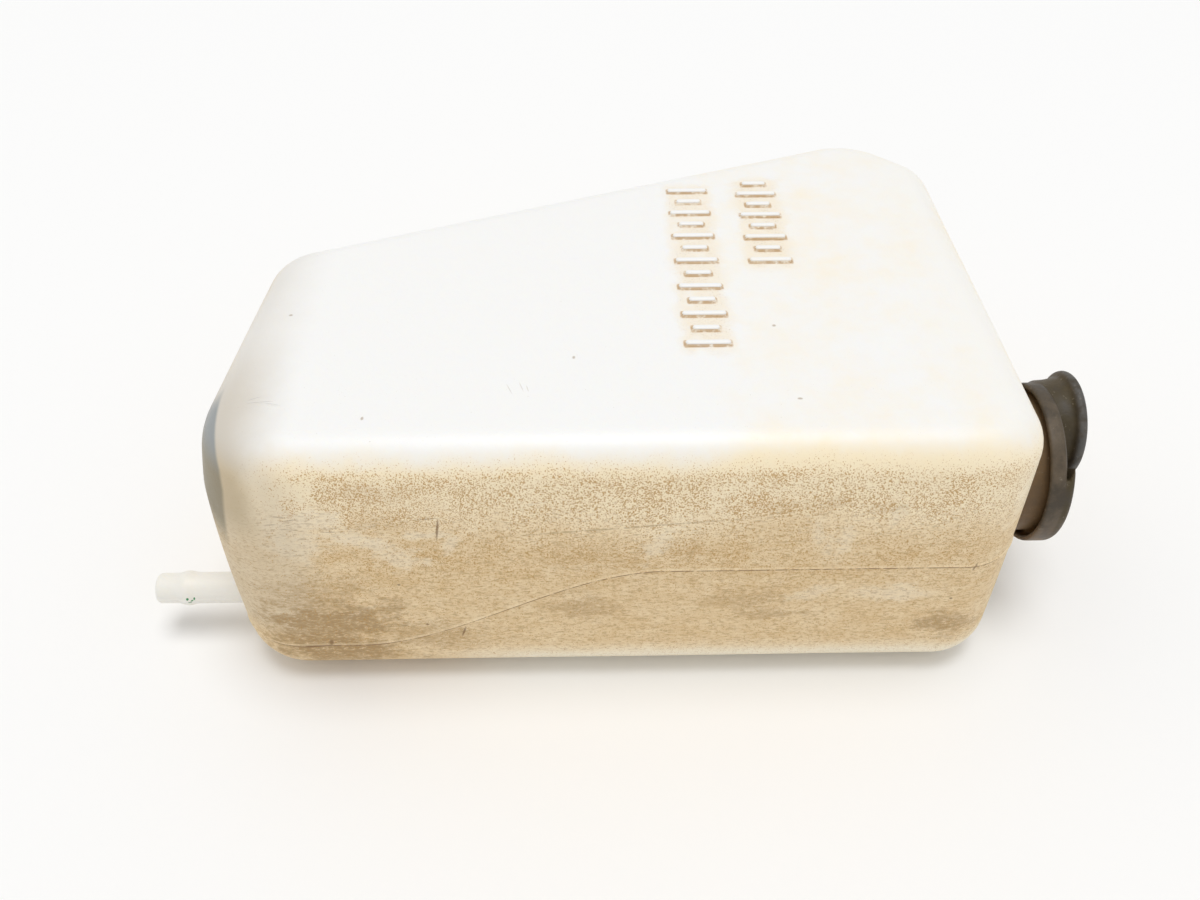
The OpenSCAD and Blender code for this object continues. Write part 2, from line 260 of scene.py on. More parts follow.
class Graph:
    """Adds nodes to a node tree and joins them."""

    def __init__(self, tree: bpy.types.NodeTree) -> None:
        """Starts with an empty tree."""
        self.tree = tree
        tree.nodes.clear()

    def put(self, socket: Socket, value: Value) -> None:
        """Links a number or socket to an input, or sets the input's own value."""
        source = value.out() if isinstance(value, Num) else value
        if isinstance(source, Socket):
            self.tree.links.new(source, socket)
        else:
            socket.default_value = source

    def add(self, kind: str, inputs: Optional[dict] = None, **settings: object) -> bpy.types.Node:
        """Adds one node.

        Args:
            kind: Blender's name of the node type.
            inputs: What goes into its inputs, by their name or number.
            **settings: Properties of the node.

        Returns:
            The new node.
        """
        node = self.tree.nodes.new(kind)
        for name, value in settings.items():
            setattr(node, name, value)
        for key, value in (inputs or {}).items():
            self.put(node.inputs[key], value)
        return node

    def number(self, kind: str, inputs: Optional[dict] = None, **settings: object) -> Num:
        """Adds one node and gives its first result as a number."""
        return Num(self, self.add(kind, inputs, **settings).outputs[0])

    def math(self, operation: str, a: Value, b: Value = 0.0, c: Value = 0.0) -> Num:
        """Adds one Math node and gives its result."""
        return self.number("ShaderNodeMath", {0: a, 1: b, 2: c}, operation=operation)

    def most(self, *values: Value) -> Num:
        """The largest of several numbers."""
        return reduce(lambda a, b: self.math("MAXIMUM", a, b), values)


@dataclass(frozen=True)
class Mark:
    """One soft mark on a surface: an ellipsoid in mm, turned in degrees, that fades at its edge."""

    centre: Point
    size: Point
    turn: Point = (0.0, 0.0, 0.0)
    strength: float = 1.0
    soft: float = 0.6


def on_front(x: float, z: float, half_length: float, half_height: float, tilt: float = 0.0,
             strength: float = 1.0, soft: float = 0.6) -> Mark:
    """A mark on the front wall, in mm, with its right end turned down by a tilt in degrees."""
    return Mark((x, -59.5, z), (half_length, 9.0, half_height), (0.0, tilt, 0.0), strength, soft)


def on_top(x: float, y: float, half_length: float, half_width: float, turn: float = 0.0,
           strength: float = 1.0) -> Mark:
    """A mark on the top face, in mm, turned about Z in degrees."""
    return Mark((x, y, 66.0), (half_length, half_width, 4.0), (0.0, 0.0, turn), strength)


def marks(kind: Callable[..., Mark], *rows: Sequence[float]) -> tuple[Mark, ...]:
    """Marks of one kind, with a row of values for each."""
    return tuple(kind(*row) for row in rows)


class Shader(Graph):
    """A material's node tree, with the patterns that its finish is made of. Its places are in mm."""

    def __init__(self, name: str, base: Colour) -> None:
        """Makes a material with one Principled shader.

        Args:
            name: Name of the material.
            base: Colour that the other colours are laid on.
        """
        self.material = bpy.data.materials.new(name)
        self.material.use_nodes = True
        super().__init__(self.material.node_tree)
        self.surface = self.add("ShaderNodeBsdfPrincipled")
        self.add("ShaderNodeOutputMaterial", {"Surface": self.surface.outputs[0]})
        self.place = self.add("ShaderNodeTexCoord").outputs["Object"]
        axes = self.add("ShaderNodeSeparateXYZ", {0: self.place}).outputs
        self.x, self.y, self.z = (self.math("MULTIPLY", axis, 1 / MM) for axis in axes)
        self.colour = base

    def set(self, **values: Value) -> None:
        """Sets inputs of the Principled shader, with _ in a name for a space."""
        for name, value in values.items():
            self.put(self.surface.inputs[name.replace("_", " ")], value)

    def step(self, value: Value, start: float, end: float) -> Num:
        """Smooth step from 0 at start to 1 at end, which may lie below start."""
        ends = (start, end, 0.0, 1.0) if end >= start else (end, start, 1.0, 0.0)
        return self.number("ShaderNodeMapRange", dict(enumerate((value, *ends))),
                           interpolation_type="SMOOTHSTEP")

    def between(self, value: Value, low: float, high: float, soft: float) -> Num:
        """1 between two numbers and 0 outside, with soft edges."""
        return self.step(value, low - soft, low) * self.step(value, high + soft, high)

    def sway(self, pattern: Num, amount: float) -> Num:
        """A pattern from 0 to 1 as a change that runs both ways about nothing."""
        return (pattern - 0.5) * amount

    def off_axis(self, origin: Point) -> Num:
        """Distance in mm from the line along X through a point in metres."""
        across, up = self.y - origin[1] / MM, self.z - origin[2] / MM
        return self.math("SQRT", across * across + up * up)

    def mapped(self, kind: str, place: Sequence[float], turn: Point, scale: Sequence[float]) -> Socket:
        """The piece's own place through a Mapping node, with its turn in degrees."""
        return self.add("ShaderNodeMapping", {
            "Vector": self.place, "Location": place, "Rotation": [math.radians(a) for a in turn],
            "Scale": scale}, vector_type=kind).outputs[0]

    def blur(self, scale: Union[float, Point], detail: float = 3.0, rough: float = 0.6,
             shift: Point = (0.0, 0.0, 0.0), turn: float = 0.0) -> Num:
        """Noise from 0 to 1 on the piece's own place.

        Args:
            scale: Cells a metre along X, Y and Z, or one number for all three.
            detail: Octaves of the noise.
            rough: How strong the fine octaves are.
            shift: Offset in cells, which picks another stretch of the noise.
            turn: Turn of the pattern about Y, in degrees.

        Returns:
            The noise.
        """
        stretch = scale if isinstance(scale, Sequence) else (scale, scale, scale)
        place = self.mapped("POINT", shift, (0.0, turn, 0.0), stretch)
        return self.number("ShaderNodeTexNoise", {"Vector": place, "Scale": 1.0, "Detail": detail,
                                                  "Roughness": rough})

    def spots(self, marks_given: Sequence[Mark], ragged: Optional[Num] = None, wander: float = 2.2) -> Num:
        """Soft spots: 1 in the middle and 0 outside, and the strongest where they meet.

        Args:
            marks_given: Places, sizes and turns of the spots.
            ragged: Noise that breaks up their edges.
            wander: How far that noise moves the edges, in the spots' own sizes.

        Returns:
            Their strength.
        """
        found = []
        for mark in marks_given:
            centre, size = [v * MM for v in mark.centre], [v * MM for v in mark.size]
            away = self.mapped("TEXTURE", centre, mark.turn, size)
            length = self.add("ShaderNodeVectorMath", {0: away}, operation="LENGTH").outputs["Value"]
            radius = Num(self, length) + (self.sway(ragged, wander) if ragged else 0.0)
            found.append(self.step(radius, 1.0 + mark.soft / 2, 1.0 - mark.soft) * mark.strength)
        return self.most(*found)

    def mix(self, factor: Value, a: Value, b: Value) -> Socket:
        """Blends two colours and returns the result."""
        node = self.add("ShaderNodeMix", {"Factor": factor}, data_type="RGBA")
        for socket, value in ((node.inputs[6], a), (node.inputs[7], b)):
            self.put(socket, value if isinstance(value, Socket) else (*value, 1.0))
        return node.outputs[2]

    def coat(self, strength: Value, colour: Value) -> None:
        """Lays a colour over the ones before it."""
        self.colour = self.mix(strength, self.colour, colour)

    def finish(self, height: Optional[Num] = None, **values: Value) -> bpy.types.Material:
        """Sets the surface with its colour and a bump.

        Args:
            height: Height of the bump in mm.
            **values: Other inputs of the Principled shader.

        Returns:
            The finished material.
        """
        colour = self.colour if isinstance(self.colour, Socket) else (*self.colour, 1.0)
        self.set(Base_Color=colour, **values)
        if height is not None:
            self.set(Normal=self.add("ShaderNodeBump", {"Height": height, "Distance": MM,
                                                        "Strength": 1.0}).outputs[0])
        return self.material


# Finishes

@dataclass(frozen=True)
class AgedPolyethylene:
    """Natural translucent polyethylene, clean on top, with fine brown dirt on its walls."""

    tank: "TankShell"
    clean: Colour = (0.93, 0.925, 0.905)
    cream: Colour = (0.985, 0.84, 0.595)
    dust: Colour = (0.755, 0.555, 0.305)
    grime: Colour = (0.425, 0.282, 0.130)
    pore_and_foot_shade: Colour = (0.50, 0.27, 0.060)
    scar_and_seam_shade: Colour = (0.25, 0.14, 0.06)
    wiped: Colour = (0.84, 0.72, 0.54)
    strip_and_bounce_light: Colour = (0.98, 0.905, 0.735)
    beige: Colour = (0.68, 0.58, 0.425)
    glow: Colour = (0.95, 0.88, 0.74)
    end_shade: Colour = (0.66, 0.61, 0.53)
    corner_shade_high: Colour = (0.28, 0.305, 0.315)
    corner_shade_low: Colour = (0.255, 0.215, 0.135)
    tan: Colour = (0.56, 0.45, 0.285)
    tube: Colour = (0.88, 0.86, 0.80)
    halo: Colour = (0.93, 0.80, 0.60)
    speck: Colour = (0.34, 0.24, 0.14)
    paint: Colour = (0.03, 0.26, 0.10)
    wiped_marks: tuple[Mark, ...] = marks(
        on_front, (-58.1, 49.0, 8.5, 3.2, 4), (-61.5, 43.0, 5.5, 5.5), (-47.5, 43.4, 8.5, 1.8, 14),
        (-42.0, 38.3, 5.0, 2.6, 12, 0.8), (-37.7, 45.5, 6.5, 1.3, -2), (-32.4, 42.8, 1.6, 2.8, 20, 0.8),
        (-16.2, 53.4, 3.4, 0.5, -10, 0.8), (-52.3, 22.8, 4.5, 0.7, -32, 0.6), (7.4, 41.8, 1.9, 5.5, 24, 0.8),
        (37.6, 45.0, 1.4, 4.6, -8, 0.7, 0.9), (40.0, 40.5, 1.2, 4.0, 4, 0.6, 0.9),
        (43.0, 42.8, 1.6, 5.4, 6, 0.8, 0.9), (51.8, 49.0, 1.4, 3.0, 12, 0.7), (54.8, 26.6, 7.5, 2.6, 0, 0.7),
        (37.4, 27.0, 4.5, 1.8, -20, 0.6))
    grime_marks: tuple[Mark, ...] = marks(
        on_front, (-58.0, 19.5, 15.5, 8.0, 0, 0.95), (-58.0, 11.0, 15.0, 7.5), (-60.0, 29.5, 11.0, 6.5, 0, 0.55),
        (-40.0, 15.0, 14.0, 5.0, 0, 0.4), (-45.1, 56.6, 9.0, 3.0, 0, 0.45), (-44.0, 49.0, 8.0, 2.4, 0, 0.35),
        (-6.5, 24.0, 8.0, 4.2, 0, 0.45), (-4.0, 38.0, 13.0, 4.5, 0, 0.40), (12.0, 40.0, 4.5, 4.0, 0, 0.45),
        (26.3, 25.2, 9.0, 4.0, 0, 0.35), (29.1, 51.8, 4.5, 2.0, 0, 0.50), (40.0, 53.0, 3.0, 1.6, 0, 0.55),
        (49.8, 51.0, 4.0, 1.8, 0, 0.50), (31.2, 20.6, 7.0, 1.8, 0, 0.45), (67.2, 16.4, 7.0, 4.0, 20, 0.75))
    nicks: tuple[Mark, ...] = marks(on_front, (-34.4, 47.0, 0.22, 3.0, 8), (-31.9, 16.1, 0.22, 1.7, 18))
    scratches: tuple[Mark, ...] = marks(
        on_front, (-63.3, 50.8, 1.6, 0.18, 8, 0.5), (-61.6, 49.9, 2.0, 0.16, -10, 0.5),
        (-65.2, 48.8, 1.5, 0.16, -4, 0.5), (-62.2, 47.4, 1.8, 0.15, 5, 0.4), (-36.0, 49.9, 2.2, 0.18, -5, 0.6),
        (-54.6, 46.6, 1.6, 0.15, 0, 0.5), (-59.6, 13.2, 0.45, 0.9, 10), (-62.5, 12.0, 3.6, 0.34, -7),
        (69.8, 34.2, 0.30, 1.1, 12), (67.0, 24.8, 0.35, 0.3), (-43.5, 31.2, 0.35, 0.3), (-39.2, 18.6, 0.3, 0.3))
    top_specks: tuple[Mark, ...] = marks(
        on_top, (-65.9, -17.2, 0.45, 0.35), (-8.5, -31.9, 0.35, 0.5), (31.7, -22.3, 0.4, 0.4),
        (33.6, -44.9, 0.5, 0.3), (-47.1, -49.2, 0.3, 0.5), (-20.6, -41.3, 1.7, 0.10, 112, 0.5),
        (-18.4, -40.6, 1.5, 0.10, 108, 0.5), (-17.2, -41.2, 1.1, 0.10, 104, 0.5))
    creases: tuple[Mark, ...] = marks(
        on_top, (-66.6, -44.4, 2.6, 0.22, 6), (-64.2, -45.0, 1.8, 0.20, -14), (-68.0, -43.4, 1.4, 0.20, 30))
    second_line: tuple[Mark, ...] = marks(on_front, (1.0, 46.8, 26.0, 0.30, -5.1))
    paint_strokes: tuple[Mark, ...] = marks(
        Mark, ((-92.6, -46.6, 12.9), (0.30, 3.0, 0.42), (0.0, 20.0, 0.0), 1.0, 0.3),
        ((-91.8, -46.6, 12.3), (0.42, 3.0, 0.22), (0.0, -30.0, 0.0), 1.0, 0.3),
        ((-91.2, -46.6, 12.8), (0.22, 3.0, 0.40), (0.0, 10.0, 0.0), 1.0, 0.3),
        ((-92.3, -46.6, 11.8), (0.50, 3.0, 0.16), (0.0, 5.0, 0.0), 1.0, 0.3))

    def build(self) -> bpy.types.Material:
        """Makes the material.

        Returns:
            The finished material.
        """
        s = Shader("aged_polyethylene", self.clean)
        pores = s.blur(3900.0, detail=1.0, rough=0.5)
        weave = s.blur((1000.0, 1000.0, 2400.0), shift=(2.0, 8.0, 3.0))
        grain = s.blur(700.0, shift=(4.0, 1.0, 6.0))
        clump = s.blur(170.0, detail=4.0, shift=(3.1, 0.4, 7.7))
        cloud = s.blur(45.0, rough=0.55, shift=(1.7, 5.2, 2.4))
        brush = s.blur((60.0, 60.0, 700.0), detail=4.0, turn=-1.5)
        ragged = s.blur((260.0, 260.0, 420.0), detail=4.0, rough=0.65, shift=(1.0, 5.0, 2.0))

        level = s.z + s.sway(cloud, 4) + s.sway(clump, 3)
        on_tube = s.step(s.off_axis(self.tank.nipple_place), 6.5, 5.5) * s.step(s.x, -79.9, -80.7)
        on_body = (1 - on_tube) * s.step(s.x, 81.8, 81.0)
        at_back = s.step(s.y, -30, 20)
        wiped = s.spots(self.wiped_marks, ragged, 3.0)
        grimy = s.spots(self.grime_marks, ragged, 2.6)
        low_clean_and_lit = s.step(s.z + s.sway(cloud, 3), 13.5, 7.0) * (0.04 + 0.90 * s.step(s.x, -50, -14))
        fold = s.step(level - 1.8 * s.between(s.x, 25, 66, 12), 65.4, 60.2) * on_body

        dusty = s.step(level + s.sway(clump, 16) + s.sway(cloud, 12), 53, 40) * on_body
        dusty *= 0.80 + s.sway(clump, 0.8) + s.sway(brush, 0.6) + s.sway(grain, 0.6) + s.sway(weave, 1.1)
        dusty *= (1 - 0.55 * wiped) * (1 - 0.45 * at_back)
        dusty *= 1 - 0.92 * low_clean_and_lit
        dusty = s.math("MINIMUM", s.most(dusty, 0.0), 1.0)

        s.coat(fold, self.cream)
        # The low strip is lighter: partly cleaner plastic, partly painted bounce light from the floor.
        s.coat(low_clean_and_lit, self.strip_and_bounce_light)
        s.coat(dusty, self.dust)
        s.coat(0.55 * wiped * fold * s.step(weave, 0.30, 0.50), self.wiped)
        s.coat(0.55 * s.step(s.x, -56, -65) * s.between(s.z, 20, 58, 7) * on_body, self.beige)
        smeared = 0.35 + 0.60 * s.step(s.z, 36, 24)
        s.coat(grimy * on_body * s.step(weave, 0.15, 0.55) * smeared, self.grime)
        fibre = s.step(weave, 0.50, 0.70) * s.step(level, 58, 48) * on_body
        s.coat(0.50 * fibre * (1 - 0.6 * low_clean_and_lit), self.grime)

        dense = 0.14 + 0.48 * s.step(s.z, 24, 40) + 0.38 * s.step(s.z, 45, 53)
        dense *= s.step(level, 62.6, 59.6) * (1 + s.sway(clump, 2.0) + s.sway(ragged, 0.8))
        dense *= s.step(s.x + s.sway(clump, 30), -66, -54) * s.step(s.x + s.sway(clump, 16), 79, 72)
        dense *= (1 - 0.9 * wiped) * (1 - 0.6 * at_back)
        limit = 0.646 - 0.147 * (dense + 0.35 * grimy * on_body)
        pitted = s.step(pores - limit, 0.0, 0.09) * s.step(level, 64, 62) * on_body
        s.coat(0.80 * pitted, self.pore_and_foot_shade)

        self.left_end(s, clump, on_body)
        self.seam(s, grain, on_body)
        self.top(s, pores, clump, grain)
        s.coat(0.75 * s.spots(self.nicks + self.scratches, grain, 0.8), self.scar_and_seam_shade)
        s.coat(on_tube, self.tube)
        s.coat(s.spots(self.paint_strokes, ragged, 1.2) * s.step(s.y, -45, -46), self.paint)

        height = 0.03 * grain + 0.06 * clump + 0.05 * pores * s.step(s.z, 63, 60)
        height += 0.10 * s.spots(self.creases) - 0.15 * s.spots(self.nicks)
        return s.finish(height, Roughness=0.40 + 0.30 * s.most(dusty, 0.8 * pitted) + s.sway(grain, 0.10),
                        IOR=1.5, Subsurface_Weight=0.12, Subsurface_Scale=2.0 * MM,
                        Subsurface_Radius=(1.0, 0.85, 0.6))

    def left_end(self, s: Shader, clump: Num, on_body: Num) -> None:
        """Adds painted shade on the top's left end, the tan patch and a painted dark band of shade and
        reflection on the front left corner.

        Args:
            s: The shader.
            clump: Noise that breaks up the edges.
            on_body: 1 on the body and 0 on its tubes.
        """
        sway = s.sway(clump, 3)
        across, up = s.x + sway, s.z + sway
        at_front = 0.45 + 0.55 * s.step(s.y, -20, -46)
        # Painted shade: the top turns greyer at its left end, where it rolls over.
        s.coat(s.step(across, -59, -73) * s.step(s.z, 57, 62) * on_body * at_front, self.end_shade)
        s.coat(0.92 * s.step(across, -66.0, -71.5) * s.step(up, 41, 52) * s.step(s.z, 64, 58)
               * s.step(s.y, -28, -42) * on_body, self.tan)
        # Painted shade and reflection: a dark band on the front left corner, bluish above and olive below.
        lean = 0.16 * s.most(55 - s.z, 0.0) + 0.30 * s.most(s.z - 59, 0.0)
        at_corner = s.step(s.y + s.sway(clump, 8), -35, -46)
        band = s.step(s.x + lean, -72.7, -73.7) * at_corner * on_body * s.step(up, 37, 50)
        s.coat(0.90 * band, s.mix(s.step(s.z, 57, 62.5), self.corner_shade_low, self.corner_shade_high))

    def seam(self, s: Shader, grain: Num, on_body: Num) -> None:
        """Adds the dark line under the seam, which is dirt and painted shadow, its worn crest and the faint
        second line.

        Args:
            s: The shader.
            grain: Noise that breaks up the lines.
            on_body: 1 on the body and 0 on its tubes.
        """
        tank = self.tank
        start, end = tank.seam_rise_from - tank.length / 2, tank.seam_rise_to - tank.length / 2
        share = s.step(s.x, start / MM, end / MM)
        seam_level = share * ((tank.neck_height - tank.nipple_height) / MM) + tank.nipple_height / MM
        above = s.z - seam_level
        broken = s.step(grain, 0.36, 0.52)
        # Dirt and painted shadow: a thin dark line just under the seam's ridge.
        s.coat(0.88 * s.between(above, -0.48, -0.24, 0.14) * on_body * broken, self.scar_and_seam_shade)
        s.coat(0.25 * s.between(above, -0.05, 0.30, 0.2) * on_body, self.cream)
        s.coat(0.55 * s.spots(self.second_line, grain, 0.5) * broken, self.grime)

    def scale_dirt_and_shade(self, s: Shader, clump: Num) -> tuple[Num, Num]:
        """The soft halo round both level scales, and the thin outline of dirt and painted shade round their
        strokes.

        Args:
            s: The shader.
            clump: Noise that makes the halo's edge wander.

        Returns:
            The strengths of the halo and of the outline of dirt and painted shade.
        """
        wander = s.sway(clump, 7)
        halos, outlines = [], []
        scales = LevelScales(self.tank)
        long_half, short_half = scales.long_stroke / 2 / MM, scales.short_stroke / 2 / MM
        halo_edge = long_half + 2.4
        for place in scales.places:
            x, first, pitch, gaps = scales.layout(place)
            pitch, end = pitch / MM, gaps * pitch / MM
            along = s.y - first / MM
            across = s.math("ABSOLUTE", s.x - x / MM)
            to_stroke = s.math("PINGPONG", along, pitch / 2)
            is_long = s.step(s.math("PINGPONG", along, pitch), 0.55 * pitch, 0.45 * pitch)
            past = across - ((long_half - short_half) * is_long + short_half)
            beside = s.between(to_stroke, 0.70, 1.05, 0.30) * s.step(past, 0.5, 0.0)
            ended = s.between(past, -0.05, 0.25, 0.3) * s.step(to_stroke, 1.0, 0.7)
            outlines.append(s.most(beside, ended) * s.between(along, -1.2, end + 1.2, 0.4))
            halos.append(s.step(across + wander, halo_edge, halo_edge - 3.6)
                         * s.between(along + wander, -0.5, end + 0.5, 4.0))
        return s.most(*halos), s.most(*outlines)

    def top(self, s: Shader, pores: Num, clump: Num, grain: Num) -> None:
        """Adds a painted warm glow at the right end, the dirt and painted shade round the level scales and the
        few specks on the top face.

        Args:
            s: The shader.
            pores: Fine noise of the specks.
            clump: Noise that thins them out in places.
            grain: Noise that breaks up their edges.
        """
        on_face = s.step(s.z, 64.5, 65.5)
        off_strokes = on_face * s.step(s.z, 66.34, 66.16)
        # Painted warm glow on the right end of the top roll.
        s.coat(0.25 * s.step(s.x, 52, 82) * s.step(s.z, 58, 62), self.glow)
        halo, outline = self.scale_dirt_and_shade(s, clump)
        s.coat(0.62 * halo * off_strokes * s.step(clump, 0.10, 0.55), self.halo)
        s.coat(0.55 * halo * off_strokes * s.step(pores, 0.60, 0.70) * s.step(clump, 0.40, 0.58), self.speck)
        # Dirt and painted shade: a thin dark line round each stroke's foot, where it meets the top.
        s.coat(0.68 * outline * off_strokes * s.step(grain, 0.30, 0.56), self.pore_and_foot_shade)
        stray = s.step(pores, 0.775, 0.80) * s.step(s.x, 70, 62)
        s.coat(0.6 * on_face * s.most(s.spots(self.top_specks, grain, 0.8), stray), self.speck)


@dataclass(frozen=True)
class AgedRubber:
    """Black rubber that has gone brown-grey, with brown dust inside its skirt."""

    tank: "TankShell"
    fresh: Colour = (0.062, 0.049, 0.034)
    faded: Colour = (0.128, 0.098, 0.066)
    sky_sheen: Colour = (0.120, 0.125, 0.125)
    olive: Colour = (0.066, 0.049, 0.021)
    dust: Colour = (0.165, 0.100, 0.045)
    warm: Colour = (0.225, 0.150, 0.090)
    rub: Colour = (0.30, 0.26, 0.20)
    rubs: tuple[Mark, ...] = marks(
        Mark, ((97.0, -44.0, 42.0), (2.0, 0.5, 1.6), (20.0, 0.0, 0.0), 1.0, 0.8),
        ((95.0, -38.0, 34.0), (0.6, 1.2, 0.4), (0.0, 0.0, 0.0), 1.0, 0.8))

    def build(self) -> bpy.types.Material:
        """Makes the material.

        Returns:
            The finished material.
        """
        s = Shader("aged_rubber", self.fresh)
        cloud = s.blur(110.0, detail=5.0)
        patch = s.blur(320.0, detail=4.0, shift=(2.0, 7.0, 1.0))
        fine = s.blur(1300.0)
        scuff = s.blur((300.0, 1900.0, 1900.0), shift=(9.0, 3.0, 5.0))
        radius = s.off_axis(self.tank.neck_place)

        s.coat(s.step(cloud + s.sway(patch, 0.35), 0.36, 0.66), self.faded)
        inside = s.step(s.x, 90.1, 89.5) * s.step(radius, 16.2, 15.8)
        s.coat(inside * (0.80 + s.sway(patch, 0.9)), self.dust)
        low_side = s.step(s.z, 35, 25) * s.step(s.x, 94, 92.6) * s.step(radius, 15.9, 16.4)
        s.coat(0.60 * low_side * s.step(patch, 0.20, 0.60), self.warm)
        s.coat(0.80 * s.between(s.x, 90.6, 94.6, 0.7) * s.step(patch, 0.25, 0.60), self.olive)
        # Painted reflection: a bluish sheen of the sky on the lip's outer face.
        s.coat(0.55 * s.step(s.x, 94.8, 95.6) * s.step(patch, 0.36, 0.60), self.sky_sheen)
        s.coat(0.45 * s.step(fine, 0.62, 0.70) * s.step(patch, 0.42, 0.62), self.rub)
        s.coat(0.60 * s.spots(self.rubs, fine, 2.0), self.rub)
        return s.finish(0.05 * fine + 0.03 * scuff + 0.10 * patch, IOR=1.5, Specular_IOR_Level=0.3,
                        Roughness=0.50 + s.sway(patch, 0.25) + s.sway(scuff, 0.2))


@dataclass(frozen=True)
class PaleFloor:
    """Plain white table top."""

    colour: Colour = (0.945, 0.945, 0.94)

    def build(self) -> bpy.types.Material:
        """Makes the material."""
        return Shader("pale_floor", self.colour).finish(Roughness=0.7, Specular_IOR_Level=0.2)


# Geometry node trees

class PieceTree:
    """Geometry node tree that is built once, ends in real geometry and gives it its finish."""

    name: str
    inputs: dict[str, str]
    result: str

    def __init__(self) -> None:
        """Builds the tree with its named sockets."""
        self.group = bpy.data.node_groups.new(self.name, "GeometryNodeTree")
        for label, kind in self.inputs.items():
            self.group.interface.new_socket(label, in_out="INPUT", socket_type=f"NodeSocket{kind}")
        self.group.interface.new_socket(self.result, in_out="OUTPUT", socket_type="NodeSocketGeometry")
        g = Graph(self.group)
        given = g.add("NodeGroupInput").outputs
        real = g.add("GeometryNodeRealizeInstances", {"Geometry": self.shape(g, given)})
        dressed = g.add("GeometryNodeSetMaterial", {"Geometry": real.outputs[0], "Material": given["Finish"]})
        g.add("NodeGroupOutput", {self.result: dressed.outputs[0]})

    def shape(self, g: Graph, given: bpy.types.NodeOutputs) -> Socket:
        """Adds the nodes that make the shape."""
        raise NotImplementedError

    def run(self, piece: Piece, **values: object) -> None:
        """Runs the tree on a piece and keeps what it makes as the piece's plain mesh.

        Args:
            piece: The piece, whose own mesh goes in.
            **values: Values of the named inputs, with _ in a name for a space.
        """
        modifier = piece.modifiers.new(self.name, "NODES")
        modifier.node_group = self.group
        for item in self.group.interface.items_tree:
            name = item.name.replace(" ", "_")
            if item.item_type == "SOCKET" and item.in_out == "INPUT" and name in values:
                modifier[item.identifier] = values[name]
        settle(piece)


class TurnedTree(PieceTree):
    """Turns a profile about an axis, with a fine mould line on both sides.

    The modified object's own mesh is the profile: corners of radius and height along the axis.
    """

    name = "turned_form"
    inputs = {"Profile": "Geometry", "Profile points": "Int", "Segments": "Int", "Line height": "Float",
              "Line half width": "Float", "Finish": "Material"}
    result = "Solid"
    plain_core = 1.2 * MM

    def shape(self, g: Graph, given: bpy.types.NodeOutputs) -> Socket:
        """Adds the nodes that make the shape."""
        segments = Num(g, given["Segments"])
        number = g.number("GeometryNodeInputIndex")
        across = segments + 1.0
        grid = g.add("GeometryNodeMeshGrid", {"Size X": 1.0, "Size Y": 1.0, "Vertices Y": across,
                                              "Vertices X": given["Profile points"]})
        row = g.math("FLOOR", g.math("DIVIDE", number + 0.5, across))
        turn = g.math("DIVIDE", number - row * across, segments) * (2.0 * math.pi)
        position = g.add("GeometryNodeInputPosition").outputs[0]
        sample = g.add("GeometryNodeSampleIndex", {"Geometry": given["Profile"], "Value": position,
                                                   "Index": row}, data_type="FLOAT_VECTOR", domain="POINT")
        corner = g.add("ShaderNodeSeparateXYZ", {0: sample.outputs[0]}).outputs
        radius = Num(g, corner[0])
        from_plane = g.math("ABSOLUTE", radius * g.math("SINE", turn))
        line = g.most(1 - g.math("DIVIDE", from_plane, given["Line half width"]), 0.0)
        off_core = g.math("GREATER_THAN", radius, self.plain_core)
        radius += line * Num(g, given["Line height"]) * off_core
        place = g.add("ShaderNodeCombineXYZ", {0: corner[1], 1: radius * g.math("COSINE", turn),
                                               2: radius * g.math("SINE", turn)}).outputs[0]
        moved = g.add("GeometryNodeSetPosition", {"Geometry": grid.outputs["Mesh"], "Position": place})
        return g.add("GeometryNodeMergeByDistance", {"Geometry": moved.outputs[0],
                                                     "Distance": 0.001 * MM}).outputs[0]


class ScaleTree(PieceTree):
    """Sets long and short strokes by turns along a line.

    The modified object's own mesh holds the two strokes side by side, the long one first.
    """

    name = "level_scale"
    inputs = {"Strokes": "Geometry", "Count": "Int", "First stroke": "Vector", "Pitch": "Vector",
              "Finish": "Material"}
    result = "Scale"

    def shape(self, g: Graph, given: bpy.types.NodeOutputs) -> Socket:
        """Adds the nodes that make the shape."""
        line = g.add("GeometryNodeMeshLine", {"Count": given["Count"], "Start Location": given["First stroke"],
                                              "Offset": given["Pitch"]}, mode="OFFSET")
        island = g.add("GeometryNodeInputMeshIsland").outputs["Island Index"]
        kinds = g.add("GeometryNodeSplitToInstances", {"Geometry": given["Strokes"], "Group ID": island},
                      domain="FACE")
        by_turns = g.math("MODULO", g.number("GeometryNodeInputIndex"), 2.0)
        return g.add("GeometryNodeInstanceOnPoints", {
            "Points": line.outputs["Mesh"], "Instance": kinds.outputs["Instances"],
            "Pick Instance": True, "Instance Index": by_turns}).outputs[0]


@dataclass
class TurnedForm:
    """One solid turned about an axis along X."""

    name: str
    profile: Profile
    origin: Point
    leftwards: bool = False
    segments: int = 96
    line_height: float = 0.0
    line_half_width: float = 0.3 * MM

    def build(self, tree: TurnedTree, finish: bpy.types.Material) -> Piece:
        """Turns the profile and puts the solid in its place.

        Args:
            tree: The shared geometry node tree.
            finish: Material of the solid.

        Returns:
            The solid as a plain mesh.
        """
        piece = new_piece(self.name, [(radius, height, 0.0) for radius, height in self.profile], [])
        tree.run(piece, Profile_points=len(self.profile), Segments=self.segments, Finish=finish,
                 Line_height=self.line_height, Line_half_width=self.line_half_width)
        spin = Matrix.Rotation(math.pi, 4, "Z") if self.leftwards else Matrix.Identity(4)
        piece.data.transform(Matrix.Translation(self.origin) @ spin)
        tidy_mesh(piece)
        return piece


# The tank

